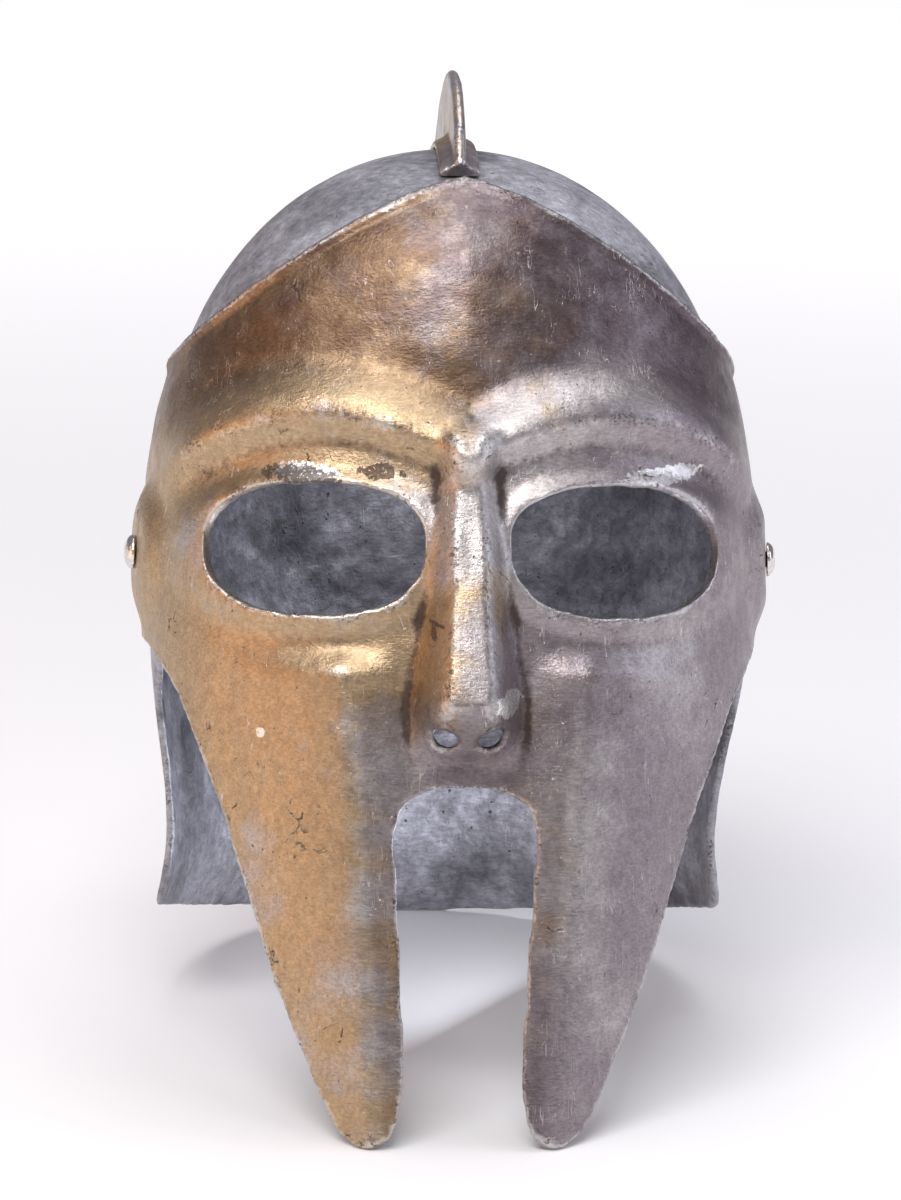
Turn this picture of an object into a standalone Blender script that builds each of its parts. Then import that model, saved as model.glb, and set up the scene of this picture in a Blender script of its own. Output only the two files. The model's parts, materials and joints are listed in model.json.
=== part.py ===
"""Masked gladiator helmet: a cast face mask riveted over a round bowl with a flared neck guard.

Every piece is modelled as it is worn, in metres: X to the wearer's left, the face towards -Y, Z up from the
eye line, and the upright axis of the head at X = Y = 0. One empty carries them all. It leans the helmet back
until it stands by itself on the tips of its cheek guards and on the back of its neck guard.
"""

import math

import bmesh
import bpy
import numpy as np
from mathutils import Vector

# Bowl
HALF_WIDTH = 0.110
FRONT_DEPTH = 0.102
BACK_DEPTH = 0.132
CROWN_HEIGHT = 0.156
BOWL_WALL = 0.003
FACE_POWER = 2.3
BACK_POWER = 2.1
CROWN_POWER = 2.4

# Neck guard
RIM_DROP = 0.128
JAW_TOP = 0.024
NECK_WAIST = 0.13
FLARE_SIDE = 0.013
FLARE_BACK = 0.046
FLARE_POWER = 2.6
SLOPE_STEP = 0.001

# The bowl's open front, seen from the side
FOREHEAD_HEIGHT = 0.058
TEMPLE_LAP = 0.055
FRONT_CORNER = 0.030
NECK_FRONT = 0.016

# Face mask
MASK_WALL = 0.003
SEAT_GAP = 0.0003
REAR_EDGE = 0.013
TEMPLE_TOP = 0.070
REAR_CORNER = 0.022
GUARD_DROP = 0.210
JAW_TAPER = 0.34
JAW_POWER = 1.6
CHIN_TAPER = 0.12
CHIN_POWER = 1.5
MASK_SPAN = math.radians(105.0)
HOLLOW_SPAN = math.radians(122.0)
RELIEF_FROM = 0.42
RELIEF_FADE = 0.2

# Brow plate
PLATE_DROP = 0.022
PLATE_APEX = CROWN_HEIGHT - PLATE_DROP
PLATE_POWER = 1.3
PLATE_LIFT = 0.015
PLATE_RIDGE = 0.004
PLATE_RIDGE_SPREAD = 0.046
PLATE_RIDGE_POWER = 1.2
BORDER_WIDTH = 0.007
BORDER_LIFT = 0.0018

# Eyebrow ribs
BROW_PEAK = 0.047
BROW_END = 0.033
BROW_INNER = 0.006
BROW_OUTER = 0.098
BROW_UNDER = 0.013
BROW_OVER = 0.022
BROW_LIFT = 0.0065
BROW_BEND_LIMIT = 1.3

# Eye openings
EYE_X = 0.0525
EYE_Z = 0.001
EYE_HALF_WIDTH = 0.0375
EYE_OVER = 0.020
EYE_UNDER = 0.0245
EYE_TILT = math.radians(3.0)
EYE_POWER = 2.3
EYE_ROLL = 0.0028
EYE_ROLL_SPREAD = 0.42

# Nose guard
NOSE_TOP = 0.034
NOSE_TIP = 0.056
NOSE_BASE = 0.080
NOSE_TOP_LIFT = 0.006
NOSE_TIP_LIFT = 0.023
NOSE_TOP_HALF = 0.0115
NOSE_TIP_HALF = 0.0215
NOSE_LIFT_POWER = 1.3
NOSE_WIDTH_POWER = 1.5
NOSE_FLAT = 0.22
BREATH_X = 0.0085
BREATH_RADIUS = 0.0034

# Cheek guards: the lengthwise ridge
RIDGE_START = 0.034
RIDGE_FADE = 0.012
RIDGE_TOP_X = 0.041
RIDGE_TIP_X = 0.029
RIDGE_LIFT = 0.0055
RIDGE_INNER = 0.017
RIDGE_OUTER = 0.038
RIDGE_ROUND = 0.0012

# Temple bosses and rivets
BOSS_Y = -0.020
BOSS_Z = 0.003
BOSS_RADIUS = 0.030
BOSS_LIFT = 0.004
BOSS_SOFT = 0.55
SIDE_SHARE = 0.7
RIVET_HEAD_RADIUS = 0.0066
RIVET_HEAD_HEIGHT = 0.0034
RIVET_SHANK_RADIUS = 0.0025
RIVET_TAIL_RADIUS = 0.0045
RIVET_TAIL_HEIGHT = 0.0016
RIVET_CLEARANCE = 0.0003
RIVET_TAIL_GAP = 0.0007

# Comb
COMB_FRONT = math.radians(-31.0)
COMB_BACK = math.radians(58.0)
COMB_RISE = 0.031
COMB_END_RISE = 0.006
COMB_FULLNESS = 0.8
COMB_STEPS = 20
COMB_FOOT_HALF = 0.0075
COMB_WEB_HALF = 0.0022
COMB_FOOT_HEIGHT = 0.0025

# Studs on the bowl: bearing from the front and height over the eye line
STUD_PLACES = ((math.radians(112.0), 0.085), (math.radians(105.0), 0.040))
STUD_RADIUS = 0.0075
STUD_HEIGHT = 0.0060

# What is ground off the tips and the rim, so that they stand flat
REST_GRIND = 0.0010

# How finely the skins are cut into faces
FINE_STEP = 0.0050
MASK_STEP = 0.0084
INNER_STEP = 0.0120
INNER_FINE_STEP = 0.0070
BOWL_STEP = 0.0165
ROUND_SIDES = 16
DOME_RINGS = 4
ARC_STEPS = 6
CURVE_STEPS = 4

# How the jaw's edge of the bowl sweeps back from the temples to the neck guard's front corner
# (share of that reach, share of RIM_DROP)
JAW_SWEEP = ((0.15, 0.28), (0.65, 0.46), (1.0, 0.74), (1.15, 0.93))

# Outer edge, tip and inner edge of a cheek guard, seen from the front
# (share of HALF_WIDTH, share of GUARD_DROP)
GUARD_OUTLINE = (
    (1.070, 0.095),
    (0.930, 0.215),
    (0.790, 0.400),
    (0.690, 0.560),
    (0.580, 0.740),
    (0.450, 0.910),
    (0.370, 0.980),
    (0.290, 1.000),
    (0.215, 0.980),
    (0.175, 0.910),
    (0.180, 0.740),
    (0.205, 0.520),
    (0.190, 0.440),
    (0.110, 0.412),
    (0.000, 0.406),
)


def smooth_step(share):
    """0 below 0, 1 above 1, with a soft start and end between them."""
    share = np.clip(share, 0.0, 1.0)
    return share * share * (3.0 - 2.0 * share)


def hump(share):
    """1 at 0, falling softly to 0 at 1 and at -1."""
    return np.cos(0.5 * math.pi * np.clip(share, -1.0, 1.0)) ** 2


def oval_radius(angle, half_width, front, back):
    """Distance from the axis to a squarish oval. Angle 0 looks out of the face."""
    ahead = np.cos(angle) > 0.0
    depth = np.where(ahead, front, back)
    power = np.where(ahead, FACE_POWER, BACK_POWER)
    across = np.abs(np.sin(angle)) / half_width
    along = np.abs(np.cos(angle)) / depth
    return (across**power + along**power) ** (-1.0 / power)


def crown_share(height):
    """How much of the bowl's width is left at a height over the eye line."""
    rise = np.clip(height / CROWN_HEIGHT, 0.0, 1.0)
    return np.sqrt(1.0 - rise**CROWN_POWER)


def bowl_radius(angle, height):
    """Outer skin of the bowl and its neck guard."""
    drop = np.clip((-height - JAW_TOP) / (RIM_DROP - JAW_TOP), 0.0, 1.0)
    flare = FLARE_SIDE + (FLARE_BACK - FLARE_SIDE) * smooth_step(np.abs(angle) / (0.5 * math.pi) - 1.0)
    waist = 1.0 - NECK_WAIST * smooth_step(drop)
    plan = oval_radius(angle, HALF_WIDTH, FRONT_DEPTH, BACK_DEPTH)
    return plan * crown_share(height) * waist + flare * drop**FLARE_POWER


def bowl_inner_radius(angle, height):
    """Inner skin of the bowl, with the wall measured square to the flare."""
    low = np.maximum(height, -RIM_DROP)
    slope = (bowl_radius(angle, low) - bowl_radius(angle, low + SLOPE_STEP)) / SLOPE_STEP
    wall = BOWL_WALL * np.hypot(1.0, np.where(height < 0.0, slope, 0.0))
    level = np.where(height > 0.0, height * CROWN_HEIGHT / (CROWN_HEIGHT - BOWL_WALL), height)
    return bowl_radius(angle, level) - wall


def face_radius(angle, height):
    """The skin that the mask's wall starts from: the bowl above, the cheeks and guards below."""
    drop = np.clip((-height - JAW_TOP) / (GUARD_DROP - JAW_TOP), 0.0, 1.0)
    half_width = HALF_WIDTH * (1.0 - JAW_TAPER * drop**JAW_POWER)
    front = FRONT_DEPTH * (1.0 - CHIN_TAPER * drop**CHIN_POWER)
    plan = oval_radius(angle, half_width, front, BACK_DEPTH)
    lift = PLATE_LIFT * smooth_step((height - FOREHEAD_HEIGHT) / (PLATE_APEX - FOREHEAD_HEIGHT))
    return plan * crown_share(height) + lift * np.clip(np.cos(angle), 0.0, 1.0) + SEAT_GAP


def plate_top(across):
    """Height of the brow plate's upper edge at a distance from the middle."""
    share = np.clip(np.abs(across) / HALF_WIDTH, 0.0, 1.0)
    return TEMPLE_TOP + (PLATE_APEX - TEMPLE_TOP) * (1.0 - share**PLATE_POWER)


def eye_share(across, height):
    """1 on the edge of an eye opening, less inside it and more outside."""
    out = np.abs(across) - EYE_X
    up = height - EYE_Z
    along = out * math.cos(EYE_TILT) + up * math.sin(EYE_TILT)
    over = up * math.cos(EYE_TILT) - out * math.sin(EYE_TILT)
    reach = np.where(over > 0.0, EYE_OVER, EYE_UNDER)
    total = (np.abs(along) / EYE_HALF_WIDTH) ** EYE_POWER + (np.abs(over) / reach) ** EYE_POWER
    return total ** (1.0 / EYE_POWER)


def nose_relief(across, height, inset):
    """How far the nose guard stands out. Inset narrows it, for the skin inside."""
    share = np.clip((NOSE_TOP - height) / (NOSE_TOP + NOSE_TIP), 0.0, 1.0)
    lift = NOSE_TOP_LIFT + (NOSE_TIP_LIFT - NOSE_TOP_LIFT) * share**NOSE_LIFT_POWER
    lift = lift * smooth_step((NOSE_BASE + height) / (NOSE_BASE - NOSE_TIP))
    lift = lift * smooth_step((NOSE_TOP + 0.5 * BROW_OVER - height) / (0.5 * BROW_OVER))
    half = NOSE_TOP_HALF + (NOSE_TIP_HALF - NOSE_TOP_HALF) * share**NOSE_WIDTH_POWER - inset
    flat = NOSE_FLAT * half
    return lift * (1.0 - smooth_step((np.abs(across) - flat) / (half - flat)))


def brow_relief(across, height):
    """The raised eyebrow ribs, longer above their crest than below it."""
    middle = 0.5 * (BROW_INNER + BROW_OUTER)
    bend = (np.abs(across) - middle) / (BROW_OUTER - middle)
    away = height - (BROW_PEAK - (BROW_PEAK - BROW_END) * np.clip(bend**2, 0.0, BROW_BEND_LIMIT))
    crest = hump(away / np.where(away > 0.0, BROW_OVER, BROW_UNDER))
    fade = smooth_step((HALF_WIDTH - np.abs(across)) / (HALF_WIDTH - BROW_OUTER + BROW_UNDER))
    return BROW_LIFT * crest * fade


def ridge_relief(across, height):
    """The lengthwise ridge of a cheek guard, with a flat on each side."""
    below = -RIDGE_START - height
    share = np.clip(below / (GUARD_DROP - RIDGE_START), 0.0, 1.0)
    crest = RIDGE_TOP_X + (RIDGE_TIP_X - RIDGE_TOP_X) * share
    away = np.abs(across) - crest
    rounded = np.sqrt(away**2 + RIDGE_ROUND**2) - RIDGE_ROUND
    flank = 1.0 - rounded / np.where(away > 0.0, RIDGE_OUTER, RIDGE_INNER)
    return RIDGE_LIFT * np.clip(flank, 0.0, 1.0) * smooth_step(below / RIDGE_FADE)


def plate_relief(across, height):
    """The brow plate's soft middle ridge."""
    fade = smooth_step((height - BROW_PEAK) / (FOREHEAD_HEIGHT - BROW_PEAK + BROW_UNDER))
    share = np.clip(1.0 - np.abs(across) / PLATE_RIDGE_SPREAD, 0.0, 1.0)
    return PLATE_RIDGE * fade * share**PLATE_RIDGE_POWER


def boss_relief(angle, radius, height):
    """A low round boss at each temple, under the rivet."""
    away = np.hypot(-radius * np.cos(angle) - BOSS_Y, height - BOSS_Z)
    on_side = np.abs(np.sin(angle)) > SIDE_SHARE
    return np.where(on_side, BOSS_LIFT * smooth_step((BOSS_RADIUS - away) / (BOSS_SOFT * BOSS_RADIUS)), 0.0)


def mask_inner_radius(angle, height):
    """Inner skin of the mask, with the reliefs that show inside a thin casting."""
    base = face_radius(angle, height)
    across = base * np.sin(angle)
    relief = ridge_relief(across, height) + plate_relief(across, height) + brow_relief(across, height)
    front_only = smooth_step((np.cos(angle) - RELIEF_FROM) / RELIEF_FADE)
    return base + front_only * (relief + nose_relief(across, height, MASK_WALL))


def mask_outer_radius(angle, height):
    """Outer skin of the mask, with all its reliefs."""
    base = face_radius(angle, height)
    across = base * np.sin(angle)
    relief = ridge_relief(across, height) + plate_relief(across, height) + brow_relief(across, height)
    relief = relief + nose_relief(across, height, 0.0) + boss_relief(angle, base, height)
    roll = EYE_ROLL * hump(np.clip((eye_share(across, height) - 1.0) / EYE_ROLL_SPREAD, 0.0, 1.0))
    border = BORDER_LIFT * smooth_step(2.0 * (1.0 - (plate_top(across) - height) / BORDER_WIDTH))
    border = np.where(height > BROW_PEAK, border, 0.0)
    return base + MASK_WALL + relief + roll + border


def point_at(radius, angle, height):
    """The point at a radius and a bearing from the face's direction."""
    return (float(radius * math.sin(angle)), float(-radius * math.cos(angle)), float(height))


def spaced(start, stop, step):
    """Even values from start to stop, no further apart than step."""
    count = max(2, math.ceil(abs(stop - start) / step))
    return [start + (stop - start) * index / count for index in range(count + 1)]


def joined_spans(spans):
    """Spaced values over several spans that meet end to end, each with its own step."""
    values = [spans[0][0]]
    for start, stop, step in spans:
        values += spaced(start, stop, step)[1:]
    return values


def smooth_curve(points, steps):
    """A soft curve through points, with steps along each span."""
    padded = [points[0], *points, points[-1]]
    curve = []
    for index in range(len(points) - 1):
        before, start, stop, after = (np.array(point) for point in padded[index : index + 4])
        for step in range(steps):
            t = step / steps
            curve.append(
                tuple(
                    0.5
                    * (
                        2.0 * start
                        + (stop - before) * t
                        + (2.0 * before - 5.0 * start + 4.0 * stop - after) * t**2
                        + (3.0 * start - before - 3.0 * stop + after) * t**3
                    )
                )
            )
    return [*curve, tuple(points[-1])]


def link_mesh(name, mesh_data):
    """Turns a bmesh into a named object of the scene, with its faces pointing out."""
    bmesh.ops.recalc_face_normals(mesh_data, faces=mesh_data.faces[:])
    mesh = bpy.data.meshes.new(name)
    mesh_data.to_mesh(mesh)
    mesh_data.free()
    piece = bpy.data.objects.new(name, mesh)
    bpy.context.scene.collection.objects.link(piece)
    return piece


def bridge_rows(shape, rows, closed):
    """Quads between neighbouring rows of points."""
    for lower, upper in zip(rows, rows[1:]):
        count = len(lower)
        for index in range(count if closed else count - 1):
            after = (index + 1) % count
            shape.faces.new((lower[index], lower[after], upper[after], upper[index]))


def wedge_block(name, radius_of, angles, heights, axis_y):
    """A solid from the skin in front back to an upright line at axis_y."""
    shape = bmesh.new()
    rows = []
    for height in heights:
        skin = [shape.verts.new(point_at(radius_of(angle, height), angle, height)) for angle in angles]
        rows.append([*skin, shape.verts.new((0.0, axis_y, height))])
    bridge_rows(shape, rows, closed=True)
    for row in (rows[0], rows[-1]):
        for index in range(len(row) - 2):
            shape.faces.new((row[-1], row[index], row[index + 1]))
    return link_mesh(name, shape)


def bowl_block(name, radius_of, crown, floor, step):
    """A solid bowl with a pole at its crown and a flat floor, at the rim or below it."""
    shape = bmesh.new()
    sides = 2 * round(math.pi * HALF_WIDTH / step)
    angles = [2.0 * math.pi * index / sides - math.pi for index in range(sides)]
    turns = max(4, round(0.5 * math.pi * HALF_WIDTH / step))
    heights = spaced(-RIM_DROP, 0.0, step)
    if floor < -RIM_DROP:
        heights.insert(0, floor)
    for turn in range(1, turns):
        lean = 0.5 * math.pi * turn / turns
        heights.append(crown * math.sin(lean) ** (2.0 / CROWN_POWER))
    rows = []
    for height in heights:
        row = []
        for angle in angles:
            row.append(shape.verts.new(point_at(radius_of(angle, height), angle, height)))
        rows.append(row)
    bridge_rows(shape, rows, closed=True)
    bottom = shape.verts.new((0.0, 0.0, heights[0]))
    top = shape.verts.new((0.0, 0.0, crown))
    for index in range(sides):
        after = (index + 1) % sides
        shape.faces.new((bottom, rows[0][index], rows[0][after]))
        shape.faces.new((top, rows[-1][index], rows[-1][after]))
    return link_mesh(name, shape)


def prism(name, outline, axis, start, stop):
    """Extrudes a flat outline along an axis, 0 for X or 1 for Y. The outline runs in the other two."""
    shape = bmesh.new()
    ends = []
    for along in (start, stop):
        corners = []
        for first, second in outline:
            place = (along, first, second) if axis == 0 else (first, along, second)
            corners.append(shape.verts.new(place))
        ends.append(corners)
        shape.faces.new(corners)
    bridge_rows(shape, ends, closed=True)
    bmesh.ops.triangulate(shape, faces=[face for face in shape.faces if len(face.verts) > 4])
    return link_mesh(name, shape)


def turned(name, profile, centre, axis):
    """A piece turned about an axis through centre. Profile rows are (distance along the axis, radius)."""
    shape = bmesh.new()
    rows = []
    for along, radius in profile:
        row = []
        for side in range(ROUND_SIDES):
            turn = 2.0 * math.pi * side / ROUND_SIDES
            row.append(shape.verts.new((radius * math.cos(turn), radius * math.sin(turn), along)))
        rows.append(row)
    bridge_rows(shape, rows, closed=True)
    shape.faces.new(rows[0])
    shape.faces.new(rows[-1])
    bmesh.ops.transform(shape, matrix=frame_on(centre, axis), verts=shape.verts[:])
    return link_mesh(name, shape)


def frame_on(centre, axis):
    """The matrix that carries the origin to centre and Z onto axis."""
    turn = axis.to_track_quat("Z", "Y").to_matrix().to_4x4()
    turn.translation = centre
    return turn


def as_cutter(piece, parent):
    """Hides a shape that only cuts others."""
    piece.hide_render = True
    piece.display_type = "WIRE"
    piece.parent = parent
    return piece


def cut(piece, cutter, operation="DIFFERENCE"):
    """Adds an exact Boolean to a piece."""
    boolean = piece.modifiers.new(f"{operation.lower()} {cutter.name}", "BOOLEAN")
    boolean.operation = operation
    boolean.solver = "EXACT"
    boolean.object = cutter


def mirrored(outline):
    """An outline given for positive X, closed by its mirror image."""
    other = [(-first, second) for first, second in reversed(outline) if first > 0.0]
    return [*outline, *other]


def mask_outline():
    """The mask seen from the front: brow plate, jaw, cheek guards and the gap between them."""
    top = []
    for across in spaced(0.0, HALF_WIDTH, MASK_STEP):
        top.append((across, float(plate_top(across))))
    guard = smooth_curve([(x * HALF_WIDTH, -z * GUARD_DROP) for x, z in GUARD_OUTLINE], CURVE_STEPS)
    beyond = HALF_WIDTH + BOSS_LIFT + 3.0 * MASK_WALL
    side = [(beyond, TEMPLE_TOP), (beyond, guard[0][1])]
    return mirrored([*top, *side, *guard[:-1], (0.0, guard[-1][1])])


def eye_outline(side):
    """One eye opening seen from the front."""
    outline = []
    for index in range(2 * ROUND_SIDES):
        turn = 2.0 * math.pi * index / (2 * ROUND_SIDES)
        reach = EYE_OVER if math.sin(turn) > 0.0 else EYE_UNDER
        bend = 2.0 / EYE_POWER
        along = EYE_HALF_WIDTH * math.copysign(abs(math.cos(turn)) ** bend, math.cos(turn))
        over = reach * math.copysign(abs(math.sin(turn)) ** bend, math.sin(turn))
        x = EYE_X + along * math.cos(EYE_TILT) - over * math.sin(EYE_TILT)
        z = EYE_Z + along * math.sin(EYE_TILT) + over * math.cos(EYE_TILT)
        outline.append((side * x, z))
    return outline


def corner_arc(centre, radius, start, stop):
    """Points of an arc between two angles in degrees."""
    arc = []
    for index in range(ARC_STEPS + 1):
        turn = math.radians(start + (stop - start) * index / ARC_STEPS)
        arc.append((centre[0] + radius * math.cos(turn), centre[1] + radius * math.sin(turn)))
    return arc


def rear_trim_outline():
    """Seen from the side, what lies behind the mask's rear edge and its rounded upper corner."""
    far = BACK_DEPTH + FLARE_BACK
    front = REAR_EDGE - REAR_CORNER
    lower = corner_arc((front, REAR_CORNER - 1.25 * JAW_TOP), REAR_CORNER, -90.0, 0.0)
    upper = corner_arc((front, TEMPLE_TOP - REAR_CORNER), REAR_CORNER, 0.0, 90.0)
    return [(far, -RIM_DROP), (front, -RIM_DROP), *lower, *upper, (front, CROWN_HEIGHT), (far, CROWN_HEIGHT)]


def bowl_front_outline():
    """Seen from the side, what is open in front of the bowl: the face, and the jaw under it."""
    edge = REAR_EDGE - TEMPLE_LAP
    centre = (edge - FRONT_CORNER, FOREHEAD_HEIGHT - FRONT_CORNER)
    arc = corner_arc(centre, FRONT_CORNER, 90.0, 0.0)
    far = -2.0 * FRONT_DEPTH
    below = -RIM_DROP - BOWL_WALL
    reach = NECK_FRONT - edge
    sweep = [(edge + along * reach, -down * RIM_DROP) for along, down in JAW_SWEEP]
    stations = ((edge, -0.8 * JAW_TOP), *sweep, (edge + 1.45 * reach, below))
    return [(far, below), (far, FOREHEAD_HEIGHT), *arc, *smooth_curve(stations, CURVE_STEPS)]


def mounting(bearing, height, radius_of):
    """A point on a skin and the skin's outward direction there."""
    step = 0.001
    at = np.array(point_at(radius_of(bearing, height), bearing, height))
    turned_on = np.array(point_at(radius_of(bearing + step, height), bearing + step, height))
    raised = np.array(point_at(radius_of(bearing, height + step), bearing, height + step))
    outward = np.cross(turned_on - at, raised - at)
    outward = outward / np.linalg.norm(outward)
    if outward @ (at * np.array((1.0, 1.0, 0.0))) < 0.0:
        outward = -outward
    return Vector(at), Vector(outward)


def metal(name, colour, roughness, metallic):
    """A plain metal finish."""
    finish = bpy.data.materials.new(name)
    finish.use_nodes = True
    shader = finish.node_tree.nodes["Principled BSDF"]
    shader.inputs["Base Color"].default_value = (*colour, 1.0)
    shader.inputs["Roughness"].default_value = roughness
    shader.inputs["Metallic"].default_value = metallic
    return finish


def finish_piece(piece, parent, material, crease_degrees):
    """Gives a piece its carrier, its metal and its smooth shading."""
    piece.parent = parent
    piece.data.materials.append(material)
    piece.data.shade_smooth()
    piece.data.set_sharp_from_angle(angle=math.radians(crease_degrees))


def rivet_seat(side):
    """Where a temple rivet stands, square to the bowl, and the mask's highest skin under its head."""
    bearing = math.atan2(1.0, -BOSS_Y / HALF_WIDTH)
    seat, outward = mounting(side * bearing, BOSS_Z, bowl_radius)
    thickness = 0.0
    for place in range(ROUND_SIDES):
        turn = 2.0 * math.pi * place / ROUND_SIDES
        for reach in (0.0, RIVET_HEAD_RADIUS):
            angle = side * (bearing + reach * math.cos(turn) / HALF_WIDTH)
            height = BOSS_Z + reach * math.sin(turn)
            skin = Vector(point_at(mask_outer_radius(angle, height), angle, height))
            thickness = max(thickness, (skin - seat).dot(outward))
    return seat, outward, thickness


def face_mask(carrier, material, slab, rivet_cutters):
    """The mask: two skins, trimmed to their outline, pierced by the eyes, breathing holes and rivets."""
    fine = 2.4 * NOSE_TOP_HALF / FRONT_DEPTH
    outer_angles = joined_spans(
        (
            (-MASK_SPAN, -fine, MASK_STEP / HALF_WIDTH),
            (-fine, fine, FINE_STEP / FRONT_DEPTH),
            (fine, MASK_SPAN, MASK_STEP / HALF_WIDTH),
        )
    )
    inner_angles = joined_spans(
        (
            (-HOLLOW_SPAN, -fine, INNER_STEP / HALF_WIDTH),
            (-fine, fine, INNER_FINE_STEP / FRONT_DEPTH),
            (fine, HOLLOW_SPAN, INNER_STEP / HALF_WIDTH),
        )
    )
    over = PLATE_APEX + 2.0 * MASK_WALL
    under = -GUARD_DROP - 2.0 * MASK_WALL
    outer_heights = joined_spans(
        ((under, -NOSE_BASE, MASK_STEP), (-NOSE_BASE, BROW_PEAK, FINE_STEP), (BROW_PEAK, over, MASK_STEP))
    )
    inner_heights = joined_spans(
        (
            (under - MASK_WALL, -NOSE_BASE, INNER_STEP),
            (-NOSE_BASE, BROW_PEAK, INNER_FINE_STEP),
            (BROW_PEAK, over + MASK_WALL, INNER_STEP),
        )
    )
    mask = wedge_block("face_mask", mask_outer_radius, outer_angles, outer_heights, 0.0)
    hollow = wedge_block("mask hollow", mask_inner_radius, inner_angles, inner_heights, 0.25 * BACK_DEPTH)
    cut(mask, slab)
    cut(mask, as_cutter(hollow, carrier))
    far = 2.0 * FRONT_DEPTH
    outline = prism("mask outline", mask_outline(), 1, -far, far)
    cut(mask, as_cutter(outline, carrier), "INTERSECT")
    side = 2.0 * HALF_WIDTH
    cut(mask, as_cutter(prism("mask rear trim", rear_trim_outline(), 0, -side, side), carrier))
    for side in (-1, 1):
        eye = prism(f"eye opening {side}", eye_outline(side), 1, -far, -0.2 * FRONT_DEPTH)
        cut(mask, as_cutter(eye, carrier))
        start = Vector((side * BREATH_X, -FRONT_DEPTH - NOSE_TIP_LIFT, -NOSE_BASE))
        breath = turned(
            f"breathing hole {side}",
            ((0.0, BREATH_RADIUS), (2.0 * NOSE_TIP_LIFT, BREATH_RADIUS)),
            start,
            Vector((0.0, 1.0, 1.0)),
        )
        cut(mask, as_cutter(breath, carrier))
    for cutter in rivet_cutters:
        cut(mask, cutter)
    finish_piece(mask, carrier, material, 40.0)
    return mask


def skull_and_neck_guard(carrier, material, slab, rivet_cutters):
    """The bowl with its flared neck guard, open in front and below."""
    bowl = bowl_block("skull_and_neck_guard", bowl_radius, CROWN_HEIGHT, -RIM_DROP, BOWL_STEP)
    crown = CROWN_HEIGHT - BOWL_WALL
    hollow = bowl_block("bowl hollow", bowl_inner_radius, crown, -RIM_DROP - 2.0 * BOWL_WALL, BOWL_STEP)
    cut(bowl, slab)
    cut(bowl, as_cutter(hollow, carrier))
    side = 2.0 * HALF_WIDTH
    cut(bowl, as_cutter(prism("open front", bowl_front_outline(), 0, -side, side), carrier))
    for cutter in rivet_cutters:
        cut(bowl, cutter)
    finish_piece(bowl, carrier, material, 40.0)
    return bowl


def dome_profile(base, radius, height):
    """Profile rows of a low dome that stands on base."""
    rows = []
    for ring in range(DOME_RINGS):
        turn = 0.5 * math.pi * ring / DOME_RINGS
        rows.append((base + height * math.sin(turn), radius * math.cos(turn)))
    return rows


def temple_rivet(name, side, carrier, material):
    """A domed rivet: head outside the boss, shank through both walls, tail inside the bowl."""
    seat, outward, thickness = rivet_seat(side)
    head = thickness + SEAT_GAP
    tail = -BOWL_WALL - RIVET_TAIL_GAP
    profile = [
        (tail - RIVET_TAIL_HEIGHT, 0.6 * RIVET_TAIL_RADIUS),
        (tail - 0.5 * RIVET_TAIL_HEIGHT, RIVET_TAIL_RADIUS),
        (tail, RIVET_TAIL_RADIUS),
        (tail, RIVET_SHANK_RADIUS),
        (head, RIVET_SHANK_RADIUS),
        *dome_profile(head, RIVET_HEAD_RADIUS, RIVET_HEAD_HEIGHT),
    ]
    rivet = turned(name, profile, seat, outward)
    finish_piece(rivet, carrier, material, 50.0)
    return rivet


def crest_comb(carrier, material):
    """A low comb along the middle of the bowl, highest over the crown."""
    shape = bmesh.new()
    rows = []
    for index in range(COMB_STEPS + 1):
        share = index / COMB_STEPS
        turn = COMB_FRONT + (COMB_BACK - COMB_FRONT) * share
        foot, outward = crown_point(turn)
        swell = math.sin(math.pi * share**COMB_FULLNESS) ** COMB_FULLNESS
        rise = COMB_END_RISE + (COMB_RISE - COMB_END_RISE) * swell
        row = []
        for across, up in (
            (-COMB_FOOT_HALF, 0.0),
            (-COMB_FOOT_HALF, COMB_FOOT_HEIGHT),
            (-COMB_WEB_HALF, 2.0 * COMB_FOOT_HEIGHT),
            (-COMB_WEB_HALF, rise - COMB_WEB_HALF),
            (-0.5 * COMB_WEB_HALF, rise),
            (0.5 * COMB_WEB_HALF, rise),
            (COMB_WEB_HALF, rise - COMB_WEB_HALF),
            (COMB_WEB_HALF, 2.0 * COMB_FOOT_HEIGHT),
            (COMB_FOOT_HALF, COMB_FOOT_HEIGHT),
            (COMB_FOOT_HALF, 0.0),
        ):
            place = foot + outward * (SEAT_GAP + up)
            row.append(shape.verts.new((across, place.y, place.z)))
        rows.append(row)
    bridge_rows(shape, rows, closed=True)
    shape.faces.new(rows[0])
    shape.faces.new(rows[-1])
    comb = link_mesh("crest_comb", shape)
    finish_piece(comb, carrier, material, 40.0)
    return comb


def crown_point(turn):
    """A point of the bowl's middle line, turned from the crown to the back, and its outward direction."""

    def place(at):
        height = CROWN_HEIGHT * math.cos(at) ** (2.0 / CROWN_POWER)
        depth = BACK_DEPTH if at > 0.0 else FRONT_DEPTH
        return Vector((0.0, depth * math.sin(at), height))

    step = 0.001
    along = place(turn + step) - place(turn - step)
    return place(turn), Vector((0.0, -along.z, along.y)).normalized()


def skull_stud(name, bearing, height, carrier, material):
    """A plain low dome seated on the bowl."""
    seat, outward = mounting(bearing, height, bowl_radius)
    stud = turned(name, dome_profile(SEAT_GAP, STUD_RADIUS, STUD_HEIGHT), seat, outward)
    finish_piece(stud, carrier, material, 50.0)
    return stud


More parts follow.
